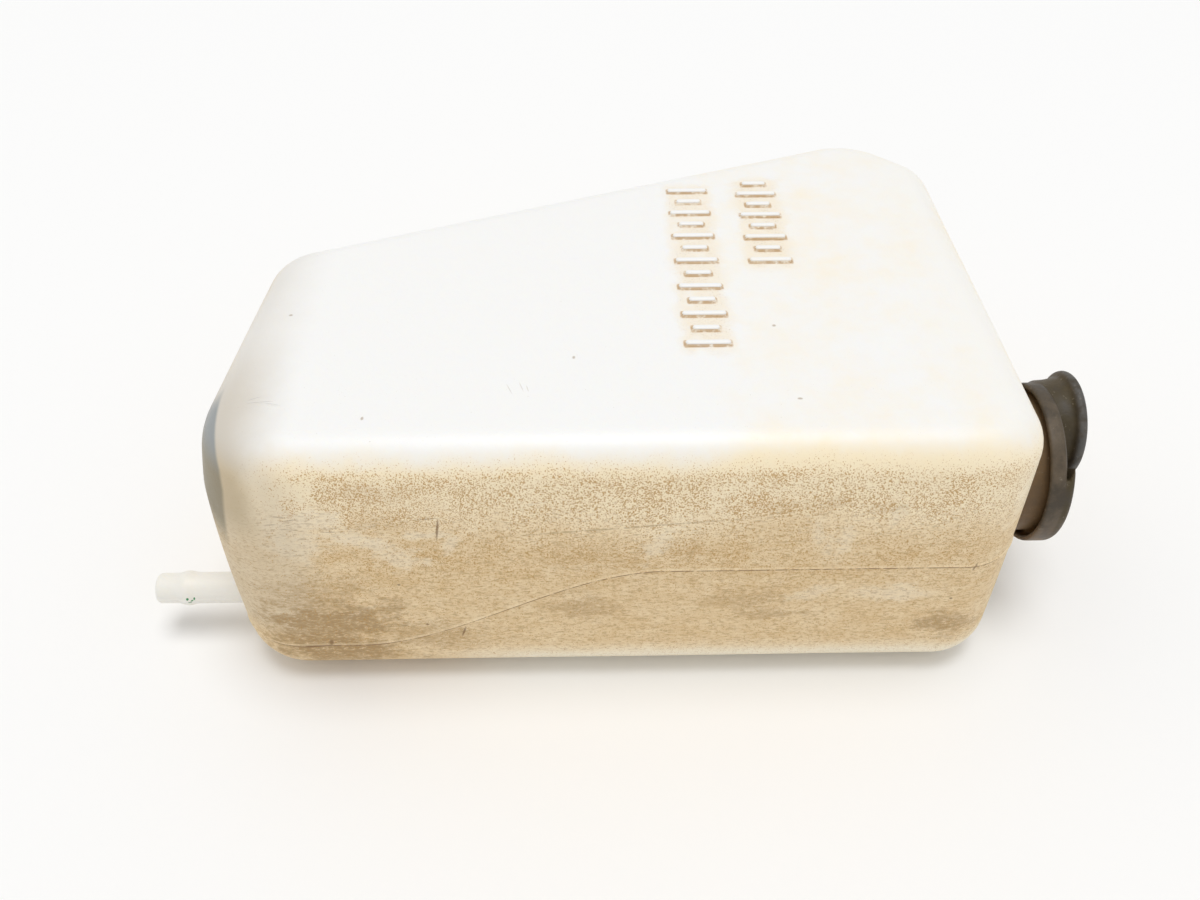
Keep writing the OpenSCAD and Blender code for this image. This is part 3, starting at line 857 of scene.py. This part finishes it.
@dataclass(frozen=True)
class TankShell:
    """The blow-moulded shell with its neck and its nipple, hollow all through."""

    length: float = 160 * MM
    depth: float = 119 * MM
    height: float = 66 * MM
    narrow_depth: float = 68 * MM
    narrow_rake: float = 6 * MM
    broad_rake: float = 2 * MM
    bevel_run: float = 19 * MM
    bevel_drop: float = 16 * MM
    wall: float = 2 * MM
    narrow_bow: float = 1.7 * MM
    broad_bow: float = 0.5 * MM
    front_narrow_r: float = 13.5 * MM
    front_narrow_growth: float = 5 * MM
    front_narrow_growth_band: float = 17 * MM
    front_broad_r: float = 12.5 * MM
    bevel_r: float = 12 * MM
    deepest_r: float = 17 * MM
    back_narrow_r: float = 12 * MM
    top_roll: float = 8 * MM
    base_roll: float = 10.5 * MM

    seam_height: float = 0.22 * MM
    seam_half_width: float = 0.3 * MM
    seam_band: float = 1.8
    seam_fullness: float = 0.7
    seam_rise_from: float = 26 * MM
    seam_rise_to: float = 89 * MM

    neck_bore_r: float = 10 * MM
    neck_wall: float = 2 * MM
    neck_length: float = 9.5 * MM
    neck_from_front: float = 29.5 * MM
    neck_height: float = 34.6 * MM
    neck_bead: float = 0.8 * MM
    neck_bead_width: float = 2.4 * MM
    neck_land: float = 0.3 * MM
    neck_blend: float = 2 * MM
    neck_edge: float = 0.35 * MM
    neck_line: float = 0.16 * MM

    nipple_r: float = 3.4 * MM
    tip_r: float = 3.3 * MM
    bead_r: float = 3.8 * MM
    nipple_bore_r: float = 2.1 * MM
    nipple_length: float = 20 * MM
    bead_from_tip: float = 6.5 * MM
    bead_ramp: float = 2.4 * MM
    tip_round: float = 0.8 * MM
    tip_bevel: float = 0.25 * MM
    nipple_from_front: float = 16 * MM
    nipple_height: float = 12.4 * MM
    nipple_blend: float = 1.6 * MM
    nipple_line: float = 0.12 * MM
    nipple_line_half_width: float = 0.22 * MM
    bore_reach: float = 1 * MM

    spacing: float = 1.1 * MM
    arc_steps: int = 16
    inner_spacing: float = 4 * MM
    inner_arc_steps: int = 8
    low_rows: int = 9
    seam_rows: int = 13
    high_rows: int = 30
    inner_rows: int = 8
    base_rings: int = 12
    top_rings: int = 32

    waviness: float = 0.22 * MM
    slow_cells: float = 24.0
    quick_cells: float = 70.0
    slow_share: float = 0.75
    still_foot: float = 4 * MM
    hollow_middle: tuple[float, float] = (-4 * MM, 10 * MM)
    hollow_reach: Point = (90 * MM, 60 * MM, 33 * MM)

    @property
    def front(self) -> float:
        """Y of the front wall."""
        return -self.depth / 2

    def corners(self, z: np.ndarray) -> np.ndarray:
        """Sharp corners of the plan at each height: X, Y and radius of the five corners."""
        share = z / self.height
        bow = 4 * share * (1 - share)
        narrow, broad = self.narrow_bow * bow, self.broad_bow * bow
        growth = self.front_narrow_growth * ease(1 - (self.height - z) / self.front_narrow_growth_band)
        half, ones = self.length / 2, np.ones_like(z)
        rows = [
            (-half - narrow, self.front * ones, self.front_narrow_r + growth),
            (half + broad, self.front * ones, self.front_broad_r * ones),
            (half - self.broad_rake + broad, (-self.front - self.bevel_drop) * ones, self.bevel_r * ones),
            ((half - self.bevel_run) * ones, -self.front * ones, self.deepest_r * ones),
            (-half + self.narrow_rake - narrow, (self.front + self.narrow_depth) * ones,
             self.back_narrow_r * ones),
        ]
        return np.stack([np.stack(row, axis=-1) for row in rows], axis=1)

    def stations(self, spacing: float, arc_steps: int) -> list[tuple[int, bool, float]]:
        """Places round the outline: the corner's number, whether it is on the arc, and its share of it."""
        c = self.corners(np.array([self.height / 2]))[0]
        places = []
        for k in range(5):
            places += [(k, True, share) for share in split(1.0, arc_steps)]
            run = np.linalg.norm(c[(k + 1) % 5, :2] - c[k, :2]) - c[k, 2] - c[(k + 1) % 5, 2]
            places += [(k, False, share) for share in split(1.0, max(3, round(run / spacing)))[1:-1]]
        return places

    def ring(self, places: list[tuple[int, bool, float]], z: np.ndarray, inset: np.ndarray) -> np.ndarray:
        """Points of one closed ring.

        Args:
            places: Stations round the outline.
            z: Height of each station.
            inset: Distance of each station in from the wall.

        Returns:
            One row of X, Y and Z for each station.
        """
        c = self.corners(z)
        along = np.roll(c[:, :, :2], -1, axis=1) - c[:, :, :2]
        along /= np.linalg.norm(along, axis=2, keepdims=True)
        out = np.stack([along[:, :, 1], -along[:, :, 0]], axis=2)
        before = np.roll(out, 1, axis=1)
        dot = (out * before).sum(axis=2)
        centre = c[:, :, :2] - (out + before) * (c[:, :, 2] / (1 + dot))[:, :, None]
        radius = c[:, :, 2] - inset[:, None]
        n = np.arange(len(places))
        k, on_arc, share = (np.array(column) for column in zip(*places))
        after = (k + 1) % 5
        start = np.arctan2(before[n, k, 1], before[n, k, 0])
        turn = start + np.arccos(np.clip(dot[n, k], -1, 1)) * share
        arcs = centre[n, k] + radius[n, k][:, None] * np.stack([np.cos(turn), np.sin(turn)], axis=1)
        wall_from = centre[n, k] + radius[n, k][:, None] * out[n, k]
        wall_to = centre[n, after] + radius[n, after][:, None] * out[n, k]
        walls = wall_from + (wall_to - wall_from) * share[:, None]
        return np.column_stack([np.where(on_arc[:, None], arcs, walls), z])

    def seam_z(self, x: np.ndarray) -> np.ndarray:
        """Height of the parting seam at a place along the tank."""
        t = (x + self.length / 2 - self.seam_rise_from) / (self.seam_rise_to - self.seam_rise_from)
        return self.nipple_height + (self.neck_height - self.nipple_height) * ease(t)

    def skin(self, name: str, spacing: float, arc_steps: int, inward: float = 0.0) -> Piece:
        """Builds the outer skin, or an inner one that lies inward of it.

        Args:
            name: Name of the mesh.
            spacing: Distance between corners of the mesh along the walls.
            arc_steps: Steps of each upright corner.
            inward: Distance of the skin inside the outer one.

        Returns:
            The closed skin.
        """
        places = self.stations(spacing, arc_steps)
        count = len(places)

        def row(z: Union[float, np.ndarray], inset: float) -> np.ndarray:
            """One ring at a height, set in from the walls."""
            return self.ring(places, np.ones(count) * z, np.ones(count) * inset)

        base_r, top_r = self.base_roll - inward, self.top_roll - inward
        low, high = self.base_roll, self.height - self.top_roll
        turns = split(math.pi / 2, max(5, arc_steps - 4))
        rows = [row(inward + base_r * (1 - math.cos(a)), inward + base_r * (1 - math.sin(a))) for a in turns]
        if inward:
            rows += [row(low + (high - low) * t, inward) for t in inner_shares(self.inner_rows)]
        else:
            seam = self.seam_z(row(self.height / 2, 0.0)[:, 0])
            band = self.seam_band * self.seam_half_width
            rows += [row(low + (seam - band - low) * t, 0.0) for t in inner_shares(self.low_rows)]
            for t in np.linspace(-self.seam_band, self.seam_band, self.seam_rows):
                rise = self.seam_height * max(0.0, 1.0 - abs(t)) ** self.seam_fullness
                rows.append(row(seam + t * self.seam_half_width, -rise))
            rows += [row(seam + band + (high - seam - band) * t, 0.0) for t in inner_shares(self.high_rows)]
        rows += [row(self.height - inward - top_r * (1 - math.sin(a)), inward + top_r * (1 - math.cos(a)))
                 for a in turns]

        base, top = rows[0].mean(axis=0), rows[-1].mean(axis=0)
        rings = [base + (rows[0] - base) * t for t in inner_shares(self.base_rings)] + rows
        rings += [top + (rows[-1] - top) * t for t in inner_shares(self.top_rings)[::-1]]
        points = np.concatenate([base[None], *rings, top[None]])
        faces = ring_faces(len(rings), count, 1)
        last = len(points) - 1
        for i in range(count):
            j = (i + 1) % count
            faces += [(0, 1 + j, 1 + i), (last - count + i, last - count + j, last)]
        piece = new_piece(name, points if inward else self.weather(points), faces)
        tidy_mesh(piece)
        return piece

    def weather(self, points: np.ndarray) -> np.ndarray:
        """Adds the slight hollows that a blown wall has, always inwards and never at its foot."""
        x, y = self.hollow_middle
        middle = np.array([x, self.front + self.narrow_depth / 2 + y, self.height / 2])
        out = points.copy()
        for i, p in enumerate(points):
            slow = 0.5 + 0.5 * noise.noise(Vector(p) * self.slow_cells)
            quick = 0.5 + 0.5 * noise.noise(Vector(p) * self.quick_cells + Vector((5.0, 1.0, 2.0)))
            depth = self.waviness * (self.slow_share * slow + (1 - self.slow_share) * quick)
            lift = min(1.0, max(0.0, p[2] / self.still_foot))
            direction = middle - p
            weight = (np.abs(direction) / np.array(self.hollow_reach)) ** 4
            out[i] += np.sign(direction) * weight / weight.max() * depth * lift
        return out

    def wall_x(self, first: int, second: int, y: float, z: float) -> float:
        """X of an end wall between two corners at a place."""
        c = self.corners(np.array([z]))[0]
        a, b = c[first], c[second]
        return float(a[0] + (b[0] - a[0]) * (y - a[1]) / (b[1] - a[1]))

    @property
    def neck_place(self) -> Point:
        """Where the neck's axis leaves the broad end wall."""
        y = self.front + self.neck_from_front
        return (self.wall_x(1, 2, y, self.neck_height), y, self.neck_height)

    @property
    def nipple_place(self) -> Point:
        """Where the nipple's axis leaves the narrow end wall."""
        y = self.front + self.nipple_from_front
        return (self.wall_x(0, 4, y, self.nipple_height), y, self.nipple_height)

    def root(self, radius: float, blend: float) -> Profile:
        """A tube's start in the wall and the blend at its root."""
        return [(0.0, -self.wall), (radius + blend, -self.wall)] + hollow_blend(radius, blend)

    def bore(self, radius: float, mouth: float, bevel: float) -> Profile:
        """A tube's bore from behind the wall to beyond its mouth, which has a bevel."""
        start, reach = -3 * self.wall, mouth + self.bore_reach
        return [(0.0, start), (radius, start), (radius, mouth - bevel), (radius + bevel, mouth),
                (radius + bevel, reach), (0.0, reach)]

    def neck(self) -> list[TurnedForm]:
        """The neck's outside and its bore."""
        outer, mouth, edge = self.neck_bore_r + self.neck_wall, self.neck_length, self.neck_edge
        bead_end = mouth - self.neck_land
        profile = self.root(outer, self.neck_blend)
        profile += bead(outer, bead_end - self.neck_bead_width, bead_end, self.neck_bead)
        profile += arc((outer - edge, mouth - edge), edge, 0, 90) + [(0.0, mouth)]
        return [TurnedForm("neck", profile, self.neck_place, line_height=self.neck_line),
                TurnedForm("neck_bore", self.bore(self.neck_bore_r, mouth, edge), self.neck_place)]

    def nipple(self) -> list[TurnedForm]:
        """The nipple's outside and its bore."""
        mouth, edge, crest = self.nipple_length, self.tip_round, self.nipple_length - self.bead_from_tip
        shares = np.linspace(0, 1, 9)
        profile = self.root(self.nipple_r, self.nipple_blend)
        profile += [(self.nipple_r + (self.bead_r - self.nipple_r) * float(ease(t)),
                     crest - self.bead_ramp * (1 - t)) for t in shares]
        profile += [(self.bead_r + (self.tip_r - self.bead_r) * float(ease(t)),
                     crest + self.bead_ramp * t) for t in shares[1:]]
        profile += arc((self.tip_r - edge, mouth - edge), edge, 0, 90) + [(0.0, mouth)]
        return [TurnedForm("nipple", profile, self.nipple_place, True, 128, self.nipple_line,
                           self.nipple_line_half_width),
                TurnedForm("nipple_bore", self.bore(self.nipple_bore_r, mouth, self.tip_bevel),
                           self.nipple_place, True)]

    def build(self, tree: TurnedTree, finish: bpy.types.Material) -> Piece:
        """Builds the whole shell as one piece.

        Args:
            tree: The shared tree for turned forms.
            finish: Its material.

        Returns:
            The finished shell.
        """
        shell = self.skin("tank_shell", self.spacing, self.arc_steps)
        neck, neck_bore = (form.build(tree, finish) for form in self.neck())
        nipple, nipple_bore = (form.build(tree, finish) for form in self.nipple())
        inside = self.skin("inside", self.inner_spacing, self.inner_arc_steps, self.wall)
        combine(shell, Cut.ADD, neck, nipple)
        combine(shell, Cut.REMOVE, inside, neck_bore, nipple_bore)
        tidy_mesh(shell)
        give_finish(shell, finish)
        smooth_shade(shell)
        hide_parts("tank_body")
        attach(shell, Body.TANK.value)
        return shell


# The level scales

@dataclass(frozen=True)
class ScalePlace:
    """Where one scale lies on the top face."""

    from_end: float
    from_front: float
    margin: float


@dataclass
class LevelScales:
    """Two plain scales of raised strokes on the top face, where the shell is marked."""

    shell: TankShell
    places: tuple[ScalePlace, ...] = (ScalePlace(62 * MM, 31.5 * MM, 4.5 * MM),
                                      ScalePlace(46 * MM, 60.5 * MM, 7.5 * MM))
    pitch: float = 5 * MM
    long_stroke: float = 9 * MM
    short_stroke: float = 5.5 * MM
    stroke_width: float = 1.3 * MM
    stroke_height: float = 0.6 * MM
    stroke_depth: float = 0.7 * MM
    foot: float = 0.2 * MM
    crown_inset: float = 0.55
    end_steps: int = 10

    def stroke(self, length: float) -> tuple[np.ndarray, list[tuple[int, ...]]]:
        """One stroke along X with round ends, a spread foot and a rounded top."""
        straight, half = (length - self.stroke_width) / 2, self.stroke_width / 2
        rows = [(-self.stroke_depth, 2 * self.foot), (0.0, self.foot)]
        rows += [(self.foot * (1 - math.cos(a)), self.foot * (1 - math.sin(a)))
                 for a in split(math.pi / 2, 4)[1:4]]
        crown = self.stroke_height - self.foot
        rows += [(self.foot + crown * math.sin(a), -self.crown_inset * half * (1 - math.cos(a)))
                 for a in split(math.pi / 2, 4)]
        points = []
        for z, grow in rows:
            r = half + grow
            ends = [(straight + r * math.sin(a), -r * math.cos(a), z) for a in split(math.pi, self.end_steps)]
            points += ends + [(-x, -y, z) for x, y, _ in ends]
        count = 2 * (self.end_steps + 1)
        lids = [tuple(range(count - 1, -1, -1)), tuple(range(len(points) - count, len(points)))]
        return np.array(points), lids + ring_faces(len(rows), count)

    def face_back_y(self, x: float) -> float:
        """Y where the flat of the top face ends at the back."""
        c = self.shell.corners(np.array([self.shell.height]))[0]
        slope = (c[3, 1] - c[4, 1]) / (c[3, 0] - c[4, 0])
        return float(c[4, 1] + slope * (x - c[4, 0]) - self.shell.top_roll * math.sqrt(1 + slope * slope))

    def layout(self, place: ScalePlace) -> tuple[float, float, float, int]:
        """X of a scale's middle, Y of its first stroke, its pitch and its number of gaps."""
        x = self.shell.length / 2 - place.from_end
        first = self.shell.front + place.from_front
        run = self.face_back_y(x) - place.margin - first
        gaps = math.ceil(run / self.pitch)
        return x, first, run / gaps, gaps

    def build(self, finish: bpy.types.Material) -> Piece:
        """Builds both scales as one piece.

        Args:
            finish: Their material.

        Returns:
            The finished scales.
        """
        tree = ScaleTree()
        long_points, long_faces = self.stroke(self.long_stroke)
        short_points, short_faces = self.stroke(self.short_stroke)
        points = np.concatenate([long_points, short_points])
        faces = long_faces + [tuple(i + len(long_points) for i in face) for face in short_faces]
        both = bmesh.new()
        for place in self.places:
            x, first, pitch, gaps = self.layout(place)
            scale = new_piece("scale", points, faces)
            tree.run(scale, Count=gaps + 1, First_stroke=(x, first, self.shell.height),
                     Pitch=(0.0, pitch, 0.0), Finish=finish)
            both.from_mesh(scale.data)
            bpy.data.objects.remove(scale, do_unlink=True)
        piece = new_piece("level_scales", [], [])
        bmesh.ops.recalc_face_normals(both, faces=both.faces)
        both.to_mesh(piece.data)
        both.free()
        give_finish(piece, finish)
        smooth_shade(piece, 50.0)
        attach(piece, Body.TANK.value)
        return piece


# The cap

@dataclass
class FillerCap:
    """Rubber cap: skirt, crown, collar, ribbed plug and a round pull lip off its axis."""

    shell: TankShell
    cap_r: float = 17 * MM
    skirt_depth: float = 2.6 * MM
    skirt_wall: float = 1.2 * MM
    crown: float = 2.8 * MM
    crown_round: float = 1.2 * MM
    groove_floor: float = 1 * MM
    groove_edge: float = 0.95 * MM
    groove_cut: float = 0.4 * MM
    groove_reach: float = 1 * MM
    groove_slope: float = 2.2
    collar_length: float = 6.4 * MM
    collar_wall: float = 1.5 * MM
    collar_clearance: float = 0.3 * MM
    plug_length: float = 8 * MM
    plug_wall: float = 2.2 * MM
    plug_clearance: float = 0.3 * MM
    plug_round: float = 1 * MM
    rib: float = 0.5 * MM
    rib_width: float = 2.4 * MM
    rib_count: int = 2
    lip_r: float = 11.5 * MM
    waist_r: float = 9.5 * MM
    flare: float = 2.4
    lip_offset: float = 8 * MM
    lip_turn: float = 43.0
    lip_rise: float = 10.4 * MM
    roll: float = 1.2 * MM
    dish: float = 1.4 * MM
    dish_r: float = 8.6 * MM
    rim_share: float = 0.3
    dish_steepness: float = 1.6
    foot_inset: float = 0.5 * MM
    foot_blend: float = 3.0 * MM
    ramp_start: float = 3.0 * MM
    ramp_slope: float = 1.0
    segments: int = 128
    voxel: float = 0.34 * MM
    smoothing: int = 6

    @property
    def mouth(self) -> Point:
        """Middle of the neck's mouth."""
        x, y, z = self.shell.neck_place
        return (x + self.shell.neck_length, y, z)

    @property
    def lip_axis(self) -> Point:
        """Middle of the pull lip, level with the neck's mouth."""
        x, y, z = self.mouth
        turn = math.radians(self.lip_turn)
        return (x, y + self.lip_offset * math.sin(turn), z + self.lip_offset * math.cos(turn))

    @property
    def lip_face(self) -> float:
        """Distance of the lip's face from the neck's mouth."""
        return self.lip_rise - self.skirt_depth

    def base_profile(self) -> Profile:
        """Skirt, crown and hollow plug with its ribs."""
        plug_r = self.shell.neck_bore_r - self.plug_clearance - self.rib
        inner, edge = plug_r - self.plug_wall, self.skirt_wall / 2
        profile = [(0.0, 0.0), (inner, 0.0), (inner, -self.plug_length)]
        profile += arc((plug_r - self.plug_round, -self.plug_length + self.plug_round), self.plug_round, -90, 0)
        pitch = (self.plug_length - self.plug_round) / self.rib_count
        for k in range(self.rib_count, 0, -1):
            middle = (0.5 - k) * pitch
            profile += bead(plug_r, middle - self.rib_width / 2, middle + self.rib_width / 2, self.rib)
        profile += [(plug_r, 0.0), (self.cap_r - self.skirt_wall, 0.0)]
        profile += arc((self.cap_r - edge, -self.skirt_depth + edge), edge, -180, 0)
        profile += arc((self.cap_r - self.crown_round, self.crown - self.crown_round), self.crown_round, 0, 90)
        return profile + [(0.0, self.crown)]

    def low_crown_profile(self) -> Profile:
        """Low crown that shows in the groove, with a round edge."""
        r, start = self.groove_edge, self.groove_cut / 2
        profile = [(0.0, start), (self.cap_r - self.skirt_wall / 2, start)]
        profile += arc((self.cap_r - r, self.groove_floor - r), r, 12, 90)
        return profile + [(0.0, self.groove_floor)]

    def collar_profile(self) -> Profile:
        """Collar that covers the outside of the neck, with a round end."""
        inner = self.shell.neck_bore_r + self.shell.neck_wall + self.shell.neck_bead + self.collar_clearance
        middle, edge, top = inner + self.collar_wall / 2, self.collar_wall / 2, self.groove_floor / 2
        return ([(inner, top)] + arc((middle, edge - self.collar_length), edge, -180, 0)
                + [(inner + self.collar_wall, top), (inner, top)])

    def lip_profile(self) -> Profile:
        """Waist, flare, rolled rim and dished face of the pull lip."""
        start, face, neck_r = self.groove_floor / 2, self.lip_face, self.lip_r - self.roll
        shares, flare_end, rim = split(1.0, 12), face - 2 * self.roll, self.rim_share
        profile = [(0.0, start)]
        profile += [(self.waist_r + (neck_r - self.waist_r) * t ** self.flare, start + (flare_end - start) * t)
                    for t in shares]
        profile += arc((neck_r, face - self.roll), self.roll, -80, 90, 14)
        profile += [(neck_r + (self.dish_r - neck_r) * t, face - rim * self.dish * t * t) for t in shares[3:]]
        profile += [(self.dish_r * (1 - t),
                     face - self.dish * (rim + (1 - rim) * float(ease(self.dish_steepness * t))))
                    for t in shares[1:]]
        return profile

    def foot_profile(self) -> Profile:
        """Foot below the lip, where it stands over the crown's plain side."""
        r, low, top = self.lip_r - self.foot_inset, self.crown - self.roll, self.lip_face - self.roll
        profile = [(0.0, low), (r + self.foot_blend, low)]
        profile += [(radius, self.crown + height) for radius, height in hollow_blend(r, self.foot_blend)]
        return profile + [(r, top), (0.0, top)]

    def block(self, name: str, low: Point, high: Point, rise: tuple[float, float]) -> Piece:
        """Block in the lip's own turned frame, for cutting.

        Args:
            name: Name of the block.
            low: Its lowest corner, with Z along the lip's offset.
            high: Its highest corner.
            rise: How far its face of low Z and its face of high Z climb to the face of high X.

        Returns:
            The block in its place.
        """
        corners = [(x, y, z + (climb if x == high[0] else 0.0)) for x in (low[0], high[0])
                   for y in (low[1], high[1]) for z, climb in ((low[2], rise[0]), (high[2], rise[1]))]
        faces = [(0, 1, 3, 2), (4, 6, 7, 5), (0, 4, 5, 1), (2, 3, 7, 6), (0, 2, 6, 4), (1, 5, 7, 3)]
        piece = new_piece(name, corners, faces)
        turn = Matrix.Rotation(-math.radians(self.lip_turn), 4, "X")
        piece.data.transform(Matrix.Translation(self.mouth) @ turn)
        tidy_mesh(piece)
        return piece

    def build(self, tree: TurnedTree, finish: bpy.types.Material) -> Piece:
        """Builds the cap as one soft-edged moulding.

        Args:
            tree: The shared tree for turned forms.
            finish: Its material.

        Returns:
            The finished cap.
        """
        mouth, lip_axis = self.mouth, self.lip_axis
        forms = (("rubber_cap", self.base_profile(), mouth), ("collar", self.collar_profile(), mouth),
                 ("low_crown", self.low_crown_profile(), mouth), ("lip", self.lip_profile(), lip_axis),
                 ("foot", self.foot_profile(), lip_axis))
        cap, collar, low_crown, lip, foot = (
            TurnedForm(*form, segments=self.segments).build(tree, finish) for form in forms)
        wide, reach = 2 * self.cap_r, self.crown + MM
        edge = self.groove_reach + self.lip_offset - self.lip_r
        climb = self.groove_slope * (reach - self.groove_cut)
        groove = self.block("groove", (self.groove_cut, -wide, edge - climb / 2), (reach, wide, wide),
                            (climb, 0.0))
        plain_side = self.block("plain_side", (0.0, -wide, -wide), (self.lip_rise, wide, self.ramp_start),
                                (0.0, -self.ramp_slope * self.lip_rise))
        combine(cap, Cut.REMOVE, groove)
        combine(foot, Cut.KEEP, plain_side)
        combine(cap, Cut.ADD, low_crown, collar, lip, foot)
        remesh = cap.modifiers.new("one_moulding", "REMESH")
        remesh.mode = "VOXEL"
        remesh.voxel_size = self.voxel
        soften = cap.modifiers.new("soften", "SMOOTH")
        soften.factor = 0.5
        soften.iterations = self.smoothing
        settle(cap)
        give_finish(cap, finish)
        cap.data.shade_smooth()
        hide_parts("filler_cap")
        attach(cap, Body.CAP.value)
        return cap


# Light, floor and camera

@dataclass(frozen=True)
class Studio:
    """Soft light, a plain pale floor and the camera at the photograph's angle."""

    floor_half_width: float = 3.0
    floor_drop: float = 0.05 * MM
    world_strength: float = 0.63
    sun_strength: float = 1.28
    sun_softness: float = 28.0
    sun_tilt: Point = (2.0, 3.0, 0.0)
    focal_share: float = 1117.02 / 1200
    sensor_width: float = 36.0
    clip: tuple[float, float] = (0.01, 20.0)
    pitch: float = 43.0
    yaw: float = 0.99
    eye: Point = (-6.36 * MM, -202.77 * MM, 200.59 * MM)

    def build(self, floor_finish: bpy.types.Material) -> None:
        """Makes the floor, the lamps, the world and the camera.

        Args:
            floor_finish: Material of the floor.
        """
        w = self.floor_half_width
        corners = [(x, y, -self.floor_drop) for x, y in ((-w, -w), (w, -w), (w, w), (-w, w))]
        floor = new_piece("floor", corners, [(0, 1, 2, 3)])
        give_finish(floor, floor_finish)

        scene = bpy.context.scene
        scene.world = bpy.data.worlds.new("studio")
        scene.world.use_nodes = True
        sky = scene.world.node_tree.nodes["Background"]
        sky.inputs["Color"].default_value = (1.0, 1.0, 1.0, 1.0)
        sky.inputs["Strength"].default_value = self.world_strength

        lamp = bpy.data.lights.new("overhead", "SUN")
        lamp.energy = self.sun_strength
        lamp.angle = math.radians(self.sun_softness)
        link_new("overhead", lamp).rotation_euler = [math.radians(a) for a in self.sun_tilt]

        lens = bpy.data.cameras.new("camera")
        lens.sensor_fit = "HORIZONTAL"
        lens.sensor_width = self.sensor_width
        lens.lens = self.focal_share * self.sensor_width
        lens.clip_start, lens.clip_end = self.clip
        camera = link_new("camera", lens)
        camera.rotation_mode = "XYZ"
        camera.rotation_euler = (math.radians(90.0 - self.pitch), 0.0, -math.radians(self.yaw))
        camera.location = self.eye
        scene.camera = camera
        scene.view_settings.view_transform = "Standard"


def main() -> None:
    """Builds the pieces in order and reports each."""
    logging.basicConfig(level=logging.INFO, format="%(name)s: %(message)s")
    tree, tank = TurnedTree(), TankShell()
    plastic = AgedPolyethylene(tank).build()
    rubber = AgedRubber(tank).build()
    Studio().build(PaleFloor().build())
    pieces = [tank.build(tree, plastic), LevelScales(tank).build(plastic), FillerCap(tank).build(tree, rubber)]
    for piece in pieces:
        log.info("%s: %d faces", piece.name, len(piece.data.polygons))


if __name__ == "__main__":
    main()
